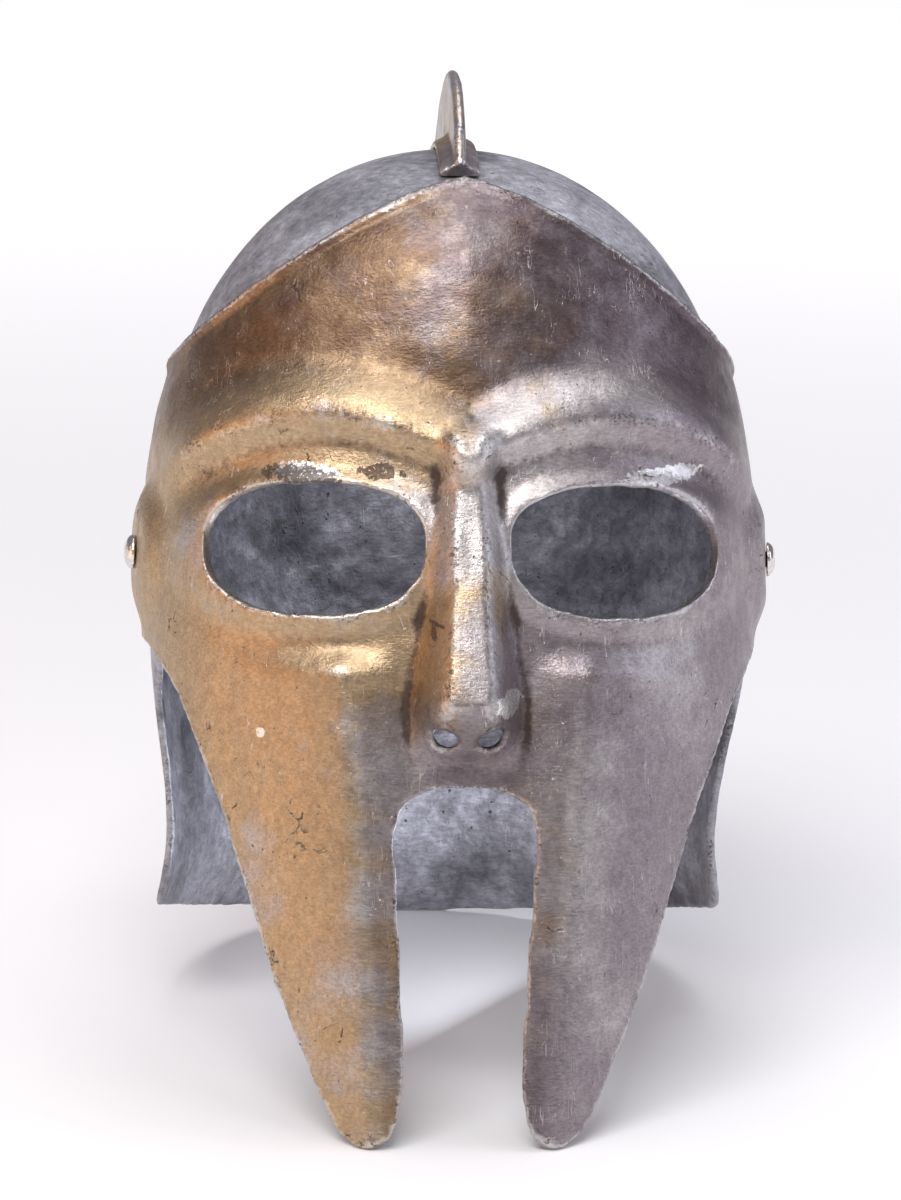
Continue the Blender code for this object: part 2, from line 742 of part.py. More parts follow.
def lean_and_lift():
    """The lean that brings tips and rim to one level, and the lift that sets them on the ground."""
    tip = max(GUARD_OUTLINE, key=lambda row: row[1])
    across = tip[0] * HALF_WIDTH
    bearing = math.asin(across / FRONT_DEPTH)
    tip_point = Vector(point_at(mask_inner_radius(bearing, -GUARD_DROP), bearing, -GUARD_DROP))
    rim_point = Vector(point_at(bowl_radius(math.pi, -RIM_DROP), math.pi, -RIM_DROP))
    lean = -math.atan2(rim_point.z - tip_point.z, rim_point.y - tip_point.y)
    lift = -(tip_point.y * math.sin(lean) + tip_point.z * math.cos(lean)) - REST_GRIND
    return lean, lift


def ground_slab():
    """Everything below the ground, which grinds the tips and the rim flat."""
    shape = bmesh.new()
    side = 4.0 * (BACK_DEPTH + FLARE_BACK)
    bmesh.ops.create_cube(shape, size=side)
    bmesh.ops.translate(shape, vec=(0.0, 0.0, -0.5 * side), verts=shape.verts[:])
    return as_cutter(link_mesh("ground slab", shape), None)


def centre_on_ground(carrier, pieces):
    """Moves the carrier so that the pieces' box is centred over the origin, front to back."""
    bpy.context.view_layer.update()
    graph = bpy.context.evaluated_depsgraph_get()
    depths = []
    for piece in pieces:
        seen = piece.evaluated_get(graph)
        mesh = seen.to_mesh()
        depths += [(seen.matrix_world @ vertex.co).y for vertex in mesh.vertices]
        seen.to_mesh_clear()
    carrier.location.y -= 0.5 * (min(depths) + max(depths))


def main():
    for item in list(bpy.data.objects):
        bpy.data.objects.remove(item)
    pewter = metal("worn pewter", (0.42, 0.37, 0.33), 0.42, 0.85)
    dark = metal("rough dark casting", (0.24, 0.23, 0.24), 0.62, 0.6)
    polished = metal("polished steel", (0.62, 0.58, 0.54), 0.22, 1.0)

    lean, lift = lean_and_lift()
    carrier = bpy.data.objects.new("worn attitude", None)
    bpy.context.scene.collection.objects.link(carrier)
    carrier.rotation_euler.x = lean
    carrier.location.z = lift

    rivet_cutters = []
    for side in (-1, 1):
        seat, outward, thickness = rivet_seat(side)
        bore = RIVET_SHANK_RADIUS + RIVET_CLEARANCE
        reach = thickness + BOSS_LIFT + BOWL_WALL
        hole = turned(f"rivet hole {side}", ((-reach, bore), (reach, bore)), seat, outward)
        rivet_cutters.append(as_cutter(hole, carrier))

    slab = ground_slab()
    mask = face_mask(carrier, pewter, slab, rivet_cutters)
    bowl = skull_and_neck_guard(carrier, dark, slab, rivet_cutters)
    pieces = [mask, bowl, crest_comb(carrier, pewter)]
    for name, side in (("temple_rivet_left", 1), ("temple_rivet_right", -1)):
        pieces.append(temple_rivet(name, side, carrier, polished))
    number = 1
    for side in (1, -1):
        for bearing, height in STUD_PLACES:
            pieces.append(skull_stud(f"skull_stud_{number}", side * bearing, height, carrier, dark))
            number += 1
    centre_on_ground(carrier, pieces)


main()
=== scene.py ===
"""The looks of a masked gladiator helmet: cast skins, hand worked surface, worn pewter and its stage."""

import json
import math

import bpy
import numpy as np
from bpy.props import FloatProperty, FloatVectorProperty, PointerProperty
from mathutils import Matrix, Vector, noise

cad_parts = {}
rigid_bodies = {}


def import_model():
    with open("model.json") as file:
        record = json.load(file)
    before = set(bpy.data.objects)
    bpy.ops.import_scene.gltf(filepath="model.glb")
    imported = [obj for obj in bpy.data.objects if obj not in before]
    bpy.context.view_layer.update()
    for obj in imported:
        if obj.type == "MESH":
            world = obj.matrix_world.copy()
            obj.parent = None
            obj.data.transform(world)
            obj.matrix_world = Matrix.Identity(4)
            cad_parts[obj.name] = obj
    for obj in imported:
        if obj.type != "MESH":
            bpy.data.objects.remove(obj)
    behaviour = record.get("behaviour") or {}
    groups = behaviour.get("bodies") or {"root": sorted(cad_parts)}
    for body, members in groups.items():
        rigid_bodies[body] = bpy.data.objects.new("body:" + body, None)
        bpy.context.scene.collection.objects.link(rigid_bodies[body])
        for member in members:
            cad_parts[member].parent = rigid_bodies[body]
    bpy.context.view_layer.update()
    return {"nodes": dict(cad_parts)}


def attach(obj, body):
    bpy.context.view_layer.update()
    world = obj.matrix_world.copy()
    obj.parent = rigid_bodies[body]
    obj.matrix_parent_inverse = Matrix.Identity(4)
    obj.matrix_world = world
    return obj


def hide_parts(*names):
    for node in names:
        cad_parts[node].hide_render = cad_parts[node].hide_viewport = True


bl_info = {
    "name": "Gladiator Helmet",
    "version": (1, 0, 0),
    "blender": (4, 5, 0),
    "location": "3D View > Sidebar > Helmet",
    "description": "Dresses a masked gladiator helmet in worn cast metal",
    "category": "Object",
}

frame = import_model()

# The helmet as it is worn, in metres: the face towards -Y, the eye line at Z = 0
HALF_WIDTH = 0.110
FRONT_DEPTH = 0.102
BACK_DEPTH = 0.132
CROWN_HEIGHT = 0.156
WALL = 0.003
FACE_POWER = 2.3
BACK_POWER = 2.1
CROWN_POWER = 2.4
RIM_DROP = 0.128
JAW_TOP = 0.024
NECK_WAIST = 0.13
FLARE_SIDE = 0.013
FLARE_BACK = 0.046
FLARE_POWER = 2.6
SLOPE_STEP = 0.001
FOREHEAD_HEIGHT = 0.058
SEAT_GAP = 0.0003
TEMPLE_TOP = 0.070
GUARD_DROP = 0.210
JAW_TAPER = 0.34
JAW_POWER = 1.6
CHIN_TAPER = 0.12
CHIN_POWER = 1.5
PLATE_APEX = 0.134
PLATE_POWER = 1.3
PLATE_LIFT = 0.015
PLATE_RIDGE = 0.004
PLATE_RIDGE_SPREAD = 0.046
PLATE_RIDGE_POWER = 1.2
BORDER_WIDTH = 0.007
BORDER_LIFT = 0.0018
BROW_PEAK = 0.047
BROW_END = 0.033
BROW_INNER = 0.006
BROW_OUTER = 0.098
BROW_UNDER = 0.013
BROW_OVER = 0.022
BROW_LIFT = 0.0065
BROW_BEND_LIMIT = 1.3
EYE_X = 0.0525
EYE_Z = 0.001
EYE_HALF_WIDTH = 0.0375
EYE_OVER = 0.020
EYE_UNDER = 0.0245
EYE_TILT = math.radians(3.0)
EYE_POWER = 2.3
EYE_ROLL = 0.0028
EYE_ROLL_SPREAD = 0.42
NOSE_TOP = 0.034
NOSE_TIP = 0.056
NOSE_BASE = 0.080
NOSE_TOP_LIFT = 0.006
NOSE_TIP_LIFT = 0.023
NOSE_TOP_HALF = 0.0115
NOSE_TIP_HALF = 0.0215
NOSE_FLAT = 0.22
NOSE_LIFT_POWER = 1.3
NOSE_WIDTH_POWER = 1.5
RIDGE_START = 0.034
RIDGE_FADE = 0.012
RIDGE_TOP_X = 0.041
RIDGE_TIP_X = 0.029
RIDGE_LIFT = 0.0055
RIDGE_INNER = 0.017
RIDGE_OUTER = 0.038
RIDGE_ROUND = 0.0012
BOSS_Y = -0.020
BOSS_Z = 0.003
BOSS_RADIUS = 0.030
BOSS_LIFT = 0.004
BOSS_SOFT = 0.55
SIDE_SHARE = 0.7
RELIEF_FROM = 0.42
RELIEF_FADE = 0.2
REST_GRIND = 0.0010
TIP_X = 0.29 * HALF_WIDTH
SAME_PLACE = 0.0001

# How the remeshed shells are carried back onto their skins and their rims evened
OUTER_FROM = 0.62
INNER_TO = 0.38
BOWL_FACING = 0.3
CROWN_FACING_FROM = 0.45
CROWN_FROM = 0.8
CORNER_GAIN = 9.0
CORNER_FLOOR = 0.4
EDGE_GAIN = 2.5
EDGE_LEAST = 0.05
RIM_TURNS = 5
RIM_SPREAD = 70
RIM_RETURN = 0.8
REST_REACH = 0.020

# Where the marks of wear and the painted shade lie on the mask
FACE_BEARING = 0.97
PAINTED_SHADE_START = 0.2
PAINTED_SHADE_STRIP = 0.5
PAINTED_SHADE_BLEND = 0.004

# The stage, in metres and watts
AIM = (0.0, -0.015, 0.1635)
LENS = 122.5
SENSOR = 36.0
CLIP_START = 0.05
FLOOR_SIZE = 160.0
FLOOR_GLOW = (0.25, 2.6, 0.07, 0.75)
SKY_COLOUR = (0.46, 0.43, 0.48, 1.0)
SKY_STRENGTH = 0.55
CENTRE = (0.0, 0.0, 0.19)
LIGHTS = (
    ("key", (-0.5, -1.1, 1.9), CENTRE, (1.5, 1.0), 34.0, (1.0, 0.98, 0.97)),
    ("top", (0.2, 0.3, 2.0), CENTRE, (1.2, 1.0), 14.0, (0.96, 0.97, 1.0)),
    ("warm wall", (-1.3, -0.45, 0.35), (0.0, -0.05, 0.15), (1.1, 0.9), 3.8, (1.0, 0.50, 0.20)),
    ("floor bounce", (0.045, -0.02, 0.05), (-0.10, 0.08, 0.16), (0.09, 0.08), 0.15, (0.87, 0.9, 1.0)),
    ("cool edge", (1.2, -0.2, 0.7), CENTRE, (0.5, 0.9), 3.0, (0.80, 0.84, 1.0)),
)


# The skins of the helmet, as distances from the upright axis


def smooth_step(share):
    """0 below 0, 1 above 1, with a soft start and end between them."""
    share = np.clip(share, 0.0, 1.0)
    return share * share * (3.0 - 2.0 * share)


def hump(share):
    """1 at 0, falling softly to 0 at 1 and at -1."""
    return np.cos(0.5 * math.pi * np.clip(share, -1.0, 1.0)) ** 2


def oval_radius(angle, half_width, front, back):
    """Distance from the axis to a squarish oval. Angle 0 looks out of the face."""
    ahead = np.cos(angle) > 0.0
    depth = np.where(ahead, front, back)
    power = np.where(ahead, FACE_POWER, BACK_POWER)
    across = np.abs(np.sin(angle)) / half_width
    along = np.abs(np.cos(angle)) / depth
    return (across**power + along**power) ** (-1.0 / power)


def crown_share(height):
    """How much of the bowl's width is left at a height over the eye line."""
    rise = np.clip(height / CROWN_HEIGHT, 0.0, 1.0)
    return np.sqrt(1.0 - rise**CROWN_POWER)


def bowl_radius(angle, height):
    """Outer skin of the bowl and its neck guard."""
    drop = np.clip((-height - JAW_TOP) / (RIM_DROP - JAW_TOP), 0.0, 1.0)
    behind = smooth_step(np.abs(angle) / (0.5 * math.pi) - 1.0)
    flare = FLARE_SIDE + (FLARE_BACK - FLARE_SIDE) * behind
    waist = 1.0 - NECK_WAIST * smooth_step(drop)
    plan = oval_radius(angle, HALF_WIDTH, FRONT_DEPTH, BACK_DEPTH)
    return plan * crown_share(height) * waist + flare * drop**FLARE_POWER


def face_radius(angle, height):
    """The skin that the mask's wall starts from."""
    drop = np.clip((-height - JAW_TOP) / (GUARD_DROP - JAW_TOP), 0.0, 1.0)
    half_width = HALF_WIDTH * (1.0 - JAW_TAPER * drop**JAW_POWER)
    front = FRONT_DEPTH * (1.0 - CHIN_TAPER * drop**CHIN_POWER)
    plan = oval_radius(angle, half_width, front, BACK_DEPTH)
    lift = PLATE_LIFT * smooth_step((height - FOREHEAD_HEIGHT) / (PLATE_APEX - FOREHEAD_HEIGHT))
    return plan * crown_share(height) + lift * np.clip(np.cos(angle), 0.0, 1.0) + SEAT_GAP


def plate_top(across):
    """Height of the brow plate's upper edge."""
    share = np.clip(np.abs(across) / HALF_WIDTH, 0.0, 1.0)
    return TEMPLE_TOP + (PLATE_APEX - TEMPLE_TOP) * (1.0 - share**PLATE_POWER)


def eye_share(across, height):
    """1 on the edge of an eye opening, less inside it and more outside."""
    out = np.abs(across) - EYE_X
    up = height - EYE_Z
    along = out * math.cos(EYE_TILT) + up * math.sin(EYE_TILT)
    over = up * math.cos(EYE_TILT) - out * math.sin(EYE_TILT)
    reach = np.where(over > 0.0, EYE_OVER, EYE_UNDER)
    total = (np.abs(along) / EYE_HALF_WIDTH) ** EYE_POWER + (np.abs(over) / reach) ** EYE_POWER
    return total ** (1.0 / EYE_POWER)


def nose_relief(across, height, inset):
    """How far the nose guard stands out."""
    share = np.clip((NOSE_TOP - height) / (NOSE_TOP + NOSE_TIP), 0.0, 1.0)
    lift = NOSE_TOP_LIFT + (NOSE_TIP_LIFT - NOSE_TOP_LIFT) * share**NOSE_LIFT_POWER
    lift = lift * smooth_step((NOSE_BASE + height) / (NOSE_BASE - NOSE_TIP))
    lift = lift * smooth_step((NOSE_TOP + 0.5 * BROW_OVER - height) / (0.5 * BROW_OVER))
    half = NOSE_TOP_HALF + (NOSE_TIP_HALF - NOSE_TOP_HALF) * share**NOSE_WIDTH_POWER - inset
    flat = NOSE_FLAT * half
    return lift * (1.0 - smooth_step((np.abs(across) - flat) / (half - flat)))


def over_brow(across, height):
    """How far a place lies over the crest line of the eyebrow ribs."""
    middle = 0.5 * (BROW_INNER + BROW_OUTER)
    bend = (np.abs(across) - middle) / (BROW_OUTER - middle)
    return height - (BROW_PEAK - (BROW_PEAK - BROW_END) * np.clip(bend**2, 0.0, BROW_BEND_LIMIT))


def brow_relief(across, height):
    """The raised eyebrow ribs."""
    away = over_brow(across, height)
    crest = hump(away / np.where(away > 0.0, BROW_OVER, BROW_UNDER))
    fade = smooth_step((HALF_WIDTH - np.abs(across)) / (HALF_WIDTH - BROW_OUTER + BROW_UNDER))
    return BROW_LIFT * crest * fade


def by_ridge(across, height):
    """How far a place lies below the start of a cheek guard's ridge, and how far outward of its crest."""
    below = -RIDGE_START - height
    share = np.clip(below / (GUARD_DROP - RIDGE_START), 0.0, 1.0)
    return below, np.abs(across) - (RIDGE_TOP_X + (RIDGE_TIP_X - RIDGE_TOP_X) * share)


def ridge_relief(across, height):
    """The lengthwise ridge of a cheek guard."""
    below, away = by_ridge(across, height)
    rounded = np.sqrt(away**2 + RIDGE_ROUND**2) - RIDGE_ROUND
    flank = 1.0 - rounded / np.where(away > 0.0, RIDGE_OUTER, RIDGE_INNER)
    return RIDGE_LIFT * np.clip(flank, 0.0, 1.0) * smooth_step(below / RIDGE_FADE)


def plate_relief(across, height):
    """The brow plate's soft middle ridge."""
    fade = smooth_step((height - BROW_PEAK) / (FOREHEAD_HEIGHT - BROW_PEAK + BROW_UNDER))
    flank = np.clip(1.0 - np.abs(across) / PLATE_RIDGE_SPREAD, 0.0, 1.0)
    return PLATE_RIDGE * fade * flank**PLATE_RIDGE_POWER


def boss_relief(angle, radius, height):
    """A low round boss at each temple, under the rivet."""
    away = np.hypot(-radius * np.cos(angle) - BOSS_Y, height - BOSS_Z)
    lift = BOSS_LIFT * smooth_step((BOSS_RADIUS - away) / (BOSS_SOFT * BOSS_RADIUS))
    return np.where(np.abs(np.sin(angle)) > SIDE_SHARE, lift, 0.0)


def painted_shade_share(across, height):
    """Where the painted shade lies: the brow plate and the cheek guards' inner strips are darkened to stand
    in for shade.
    """
    plate = smooth_step((over_brow(across, height) - PAINTED_SHADE_START * BROW_OVER) / BROW_OVER)
    below, away = by_ridge(across, height)
    strip = smooth_step(-away / PAINTED_SHADE_BLEND) * smooth_step(below / RIDGE_FADE - 1.0)
    return np.maximum(plate, PAINTED_SHADE_STRIP * strip)


def mask_inner_radius(angle, height):
    """Inner skin of the mask."""
    base = face_radius(angle, height)
    across = base * np.sin(angle)
    relief = nose_relief(across, height, WALL) + ridge_relief(across, height) + plate_relief(across, height)
    front_only = smooth_step((np.cos(angle) - RELIEF_FROM) / RELIEF_FADE)
    return base + front_only * (relief + brow_relief(across, height))


def mask_outer_radius(angle, height):
    """Outer skin of the mask, with all its reliefs."""
    base = face_radius(angle, height)
    across = base * np.sin(angle)
    relief = nose_relief(across, height, 0.0) + ridge_relief(across, height) + plate_relief(across, height)
    relief = relief + brow_relief(across, height) + boss_relief(angle, base, height)
    roll = EYE_ROLL * hump(np.clip((eye_share(across, height) - 1.0) / EYE_ROLL_SPREAD, 0.0, 1.0))
    border = BORDER_LIFT * smooth_step(2.0 * (1.0 - (plate_top(across) - height) / BORDER_WIDTH))
    border = np.where(height > BROW_PEAK, border, 0.0)
    return base + WALL + relief + roll + border


def bowl_inner_radius(angle, height):
    """Inner skin of the bowl, with the wall measured square to the flare."""
    low = np.maximum(height, -RIM_DROP)
    slope = (bowl_radius(angle, low) - bowl_radius(angle, low + SLOPE_STEP)) / SLOPE_STEP
    wall = WALL * np.hypot(1.0, np.where(height < 0.0, slope, 0.0))
    level = np.where(height > 0.0, height * CROWN_HEIGHT / (CROWN_HEIGHT - WALL), height)
    return bowl_radius(angle, level) - wall


def worn_matrix():
    """The matrix that carries the worn attitude to how the helmet stands, read off the bowl's crown."""
    bearing = math.asin(TIP_X / FRONT_DEPTH)
    tip_reach = float(mask_inner_radius(bearing, -GUARD_DROP)) * math.cos(bearing)
    rim_reach = float(bowl_radius(math.pi, -RIM_DROP))
    lean = -math.atan2(GUARD_DROP - RIM_DROP, rim_reach + tip_reach)
    lift = tip_reach * math.sin(lean) + GUARD_DROP * math.cos(lean) - REST_GRIND
    level = CROWN_HEIGHT * math.cos(lean) + lift
    bowl = frame["nodes"]["skull_and_neck_guard"].data
    middle = [vertex.co for vertex in bowl.vertices if abs(vertex.co.x) < SAME_PLACE]
    crown = min(middle, key=lambda place: abs(place.z - level))
    shift = crown.y + CROWN_HEIGHT * math.sin(lean)
    return Matrix.Translation((0.0, shift, lift)) @ Matrix.Rotation(lean, 4, "X")


WORN = worn_matrix()


class HelmetSurface(bpy.types.PropertyGroup):
    """How the cast skins are worked."""

    mask_grain: FloatProperty(
        name="Mask mesh", description="Size of the mask's finest faces", default=0.0015, unit="LENGTH"
    )
    bowl_grain: FloatProperty(
        name="Bowl mesh", description="Size of the bowl's finest faces", default=0.00209, unit="LENGTH"
    )
    small_grain: FloatProperty(
        name="Small mesh", description="Size of the small pieces' finest faces", default=0.0006, unit="LENGTH"
    )
    lumps: FloatProperty(
        name="Lumps", description="Depth of the mask's hand worked lumps", default=0.00035, unit="LENGTH"
    )
    rough_cast: FloatProperty(
        name="Rough cast", description="Depth of the bowl's rough inner skin", default=0.0011, unit="LENGTH"
    )


class HelmetFinish(bpy.types.PropertyGroup):
    """Colours of the metal, its wear and its painted light and shade."""

    pewter: FloatVectorProperty(
        name="Pewter", description="The mask's main metal", subtype="COLOR", default=(0.44, 0.41, 0.405)
    )
    # Random patina tone, which the side bias also spreads over the -X side as a painted warm reflection.
    bronze: FloatVectorProperty(
        name="Bronze", description="Warm tint of the patina", subtype="COLOR", default=(0.43, 0.315, 0.195)
    )
    # Random patina tone, which the side bias also spreads over the +X side as painted cool shade.
    mauve: FloatVectorProperty(
        name="Mauve", description="Cool tint of the patina", subtype="COLOR", default=(0.29, 0.25, 0.265)
    )
    # Painted shade: this colour darkens the brow plate and the cheek guards' inner strips to stand in for
    # shade.
    painted_shade_tint: FloatVectorProperty(
        name="Stain",
        description="What the dark patina leaves of the metal",
        subtype="COLOR",
        default=(0.40, 0.34, 0.35),
    )
    wash: FloatVectorProperty(
        name="Wash", description="Dark wash in the recesses", subtype="COLOR", default=(0.060, 0.042, 0.036)
    )
    bright: FloatVectorProperty(
        name="Bright",
        description="Metal rubbed bright on the edges",
        subtype="COLOR",
        default=(0.78, 0.765, 0.75),
    )
    casting: FloatVectorProperty(
        name="Casting", description="The bowl's rough metal", subtype="COLOR", default=(0.41, 0.41, 0.455)
    )
    rivet: FloatVectorProperty(
        name="Rivet", description="Polished rivet metal", subtype="COLOR", default=(0.74, 0.70, 0.66)
    )


class HelmetStage(bpy.types.PropertyGroup):
    """Camera and light."""

    bearing: FloatProperty(
        name="Bearing",
        description="Where the camera stands round the helmet",
        default=math.radians(-4.0),
        subtype="ANGLE",
    )
    rise: FloatProperty(
        name="Rise", description="Camera's angle over the floor", default=math.radians(14.0), subtype="ANGLE"
    )
    roll: FloatProperty(name="Roll", description="Camera's roll", default=math.radians(1.6), subtype="ANGLE")
    distance: FloatProperty(name="Distance", description="Camera to helmet", default=1.5, unit="LENGTH")
    floor: FloatVectorProperty(
        name="Floor", description="Colour of the floor", subtype="COLOR", default=(0.86, 0.86, 0.87)
    )


# Mesh work


def select_only(piece):
    """Leaves one object selected and active."""
    bpy.ops.object.select_all(action="DESELECT")
    piece.select_set(True)
    bpy.context.view_layer.objects.active = piece


def apply_modifier(piece, kind, **settings):
    """Adds a modifier and applies it."""
    select_only(piece)
    modifier = piece.modifiers.new(kind.lower(), kind)
    for name, value in settings.items():
        setattr(modifier, name, value)
    bpy.ops.object.modifier_apply(modifier=modifier.name)


def fine_copy(node, name, grain):
    """A merged copy of a CAD node, remeshed into small even faces."""
    select_only(frame["nodes"][node])
    bpy.ops.object.duplicate()
    piece = bpy.context.view_layer.objects.active
    bpy.ops.object.parent_clear(type="CLEAR_KEEP_TRANSFORM")
    piece.name = name
    piece.data.name = name
    for mark in [key for key in piece.keys() if key.startswith("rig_")]:
        del piece[mark]
    piece.data.materials.clear()
    bpy.ops.object.mode_set(mode="EDIT")
    bpy.ops.mesh.select_all(action="SELECT")
    bpy.ops.mesh.remove_doubles(threshold=0.000002)
    bpy.ops.object.mode_set(mode="OBJECT")
    apply_modifier(piece, "REMESH", mode="VOXEL", voxel_size=grain, use_smooth_shade=True)
    return piece


def points_of(piece):
    """The mesh's points as an array."""
    points = np.empty(3 * len(piece.data.vertices))
    piece.data.vertices.foreach_get("co", points)
    return points.reshape(-1, 3)


def set_points(piece, points):
    """Writes the points back."""
    piece.data.vertices.foreach_set("co", points.ravel())
    piece.data.update()


def normals_of(piece):
    """The mesh's point normals as an array."""
    normals = np.empty(3 * len(piece.data.vertices))
    piece.data.vertices.foreach_get("normal", normals)
    return normals.reshape(-1, 3)


def moved(points, matrix):
    """Points carried by a matrix."""
    carry = np.array(matrix)
    return points @ carry[:3, :3].T + carry[:3, 3]


class Weave:
    """Neighbours of a mesh's points, for averaging over them."""

    def __init__(self, piece):
        ends = np.empty(2 * len(piece.data.edges), np.int64)
        piece.data.edges.foreach_get("vertices", ends)
        self.first, self.second = ends.reshape(-1, 2).T
        self.count = len(piece.data.vertices)
        self.valence = np.maximum(np.bincount(ends, minlength=self.count), 1)

    def average(self, values):
        """Each point's mean over its neighbours."""
        total = np.bincount(self.first, values[self.second], self.count)
        total = total + np.bincount(self.second, values[self.first], self.count)
        return total / self.valence

    def soften(self, values, rounds, share=0.5):
        """Values averaged again and again, by a share between 0 and 1, for all or for each point."""
        columns = values.T if values.ndim == 2 else [values]
        out = []
        for column in columns:
            for _ in range(rounds):
                column = column + share * (self.average(column) - column)
            out.append(column)
        return np.stack(out, axis=1) if values.ndim == 2 else out[0]


def onto_skins(worn, outer, inner):
    """On which skin each point of a shell lies, outer (1), inner (-1) or an edge (0), and its place there."""
    angle = np.arctan2(worn[:, 0], -worn[:, 1])
    radius = np.hypot(worn[:, 0], worn[:, 1])
    near = inner(angle, worn[:, 2])
    far = outer(angle, worn[:, 2])
    depth = (radius - near) / (far - near)
    side = np.where(depth > OUTER_FROM, 1, np.where(depth < INNER_TO, -1, 0))
    target = np.where(side > 0, far, np.where(side < 0, near, radius))
    target = np.where(np.abs(target - radius) < 0.5 * WALL, target, radius)
    scale = target / np.maximum(radius, 0.001)
    return side, worn * np.stack((scale, scale, np.ones(len(worn))), axis=1)


def onto_bowl(worn, facing):
    """The same for the bowl, told by the way its faces look. Its crown's points move in height."""
    angle = np.arctan2(worn[:, 0], -worn[:, 1])
    radius = np.maximum(np.hypot(worn[:, 0], worn[:, 1]), SAME_PLACE)
    outward = (facing[:, 0] * worn[:, 0] + facing[:, 1] * worn[:, 1]) / radius
    upward = facing[:, 2] * worn[:, 2] / CROWN_HEIGHT
    over = worn[:, 2] > CROWN_FACING_FROM * CROWN_HEIGHT
    outward = np.where(over, outward * crown_share(worn[:, 2]) + upward, outward)
    side = np.where(outward > BOWL_FACING, 1, np.where(outward < -BOWL_FACING, -1, 0))
    skin = np.where(side > 0, bowl_radius(angle, worn[:, 2]), bowl_inner_radius(angle, worn[:, 2]))
    scale = np.where(side == 0, 1.0, skin / radius)
    plan = oval_radius(angle, HALF_WIDTH, FRONT_DEPTH, BACK_DEPTH)
    thick = np.where(side > 0, 0.0, WALL)
    share = np.clip((radius + thick) / plan, 0.0, 1.0)
    level = (CROWN_HEIGHT - thick) * (1.0 - share**2) ** (1.0 / CROWN_POWER)
    crown = (worn[:, 2] > CROWN_FROM * CROWN_HEIGHT) & (side != 0)
    scale = np.where(crown, 1.0, scale)
    height = np.where(crown, level, worn[:, 2])
    return side, np.stack((worn[:, 0] * scale, worn[:, 1] * scale, height), axis=1)


def snap_to_skins(piece, where):
    """Moves a remeshed shell onto its two true skins, and evens and rounds the rims between them."""
    weave = Weave(piece)
    side, worn = where(moved(weave.soften(points_of(piece), 2), WORN.inverted()))
    turning = 1.0 - np.linalg.norm(weave.soften(normals_of(piece), 3), axis=1)
    corner = weave.soften(np.clip(CORNER_GAIN * turning - CORNER_FLOOR, 0.0, 1.0), 4)
    between = weave.soften((side == 0).astype(float), 4)
    edge = np.clip(EDGE_GAIN * np.maximum(between, corner), 0.0, 1.0)
    nearby = np.maximum(weave.soften(edge, RIM_SPREAD), EDGE_LEAST)
    for _ in range(RIM_TURNS):
        soft = weave.soften(worn, 16, 0.5 * edge)
        drawn = weave.soften((worn - soft) * edge[:, None], RIM_SPREAD) / nearby[:, None]
        worn = where(soft + RIM_RETURN * edge[:, None] * drawn)[1]
    worn = weave.soften(worn, 4, 0.5 * edge)
    worn = weave.soften(worn, 2, 0.12)
    set_points(piece, moved(worn, WORN))
    return weave, edge


def set_down(points):
    """Draws the lowest rims down to the floor, as far as the smoothing lifted them."""
    share = smooth_step(1.0 - points[:, 2] / REST_REACH)
    points[:, 2] = np.maximum(points[:, 2] - points[:, 2].min() * share, 0.0)


def lumpy(points, size, seed):
    """Soft noise at each point, between about -1 and 1."""
    shift = Vector((seed, 2.3 * seed, -1.7 * seed))
    return np.array([noise.noise(Vector(point) / size + shift) for point in points])


def write_attribute(piece, name, values):
    """Stores a value at each point for the materials."""
    layer = piece.data.attributes.new(name, "FLOAT", "POINT")
    layer.data.foreach_set("value", np.ascontiguousarray(values, np.float32))


def mark_wear(piece, weave, reach, depth):
    """Stores how far each point stands out of, or lies in, its softened surroundings."""
    points = points_of(piece)
    soft = weave.soften(points, reach, 0.6)
    out = np.einsum("ij,ij->i", points - soft, normals_of(piece)) / depth
    out = weave.soften(out, 2)
    write_attribute(piece, "proud", np.clip(out, 0.0, 1.0))
    write_attribute(piece, "sunk", np.clip(-out, 0.0, 1.0))


def settle(piece, material, slot, *nodes):
    """Gives a piece its material and its body, and hides the CAD nodes that it stands for."""
    piece.data.materials.append(material)
    select_only(piece)
    bpy.ops.object.shade_smooth()
    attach(piece, "root")
    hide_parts(*nodes)


# Materials


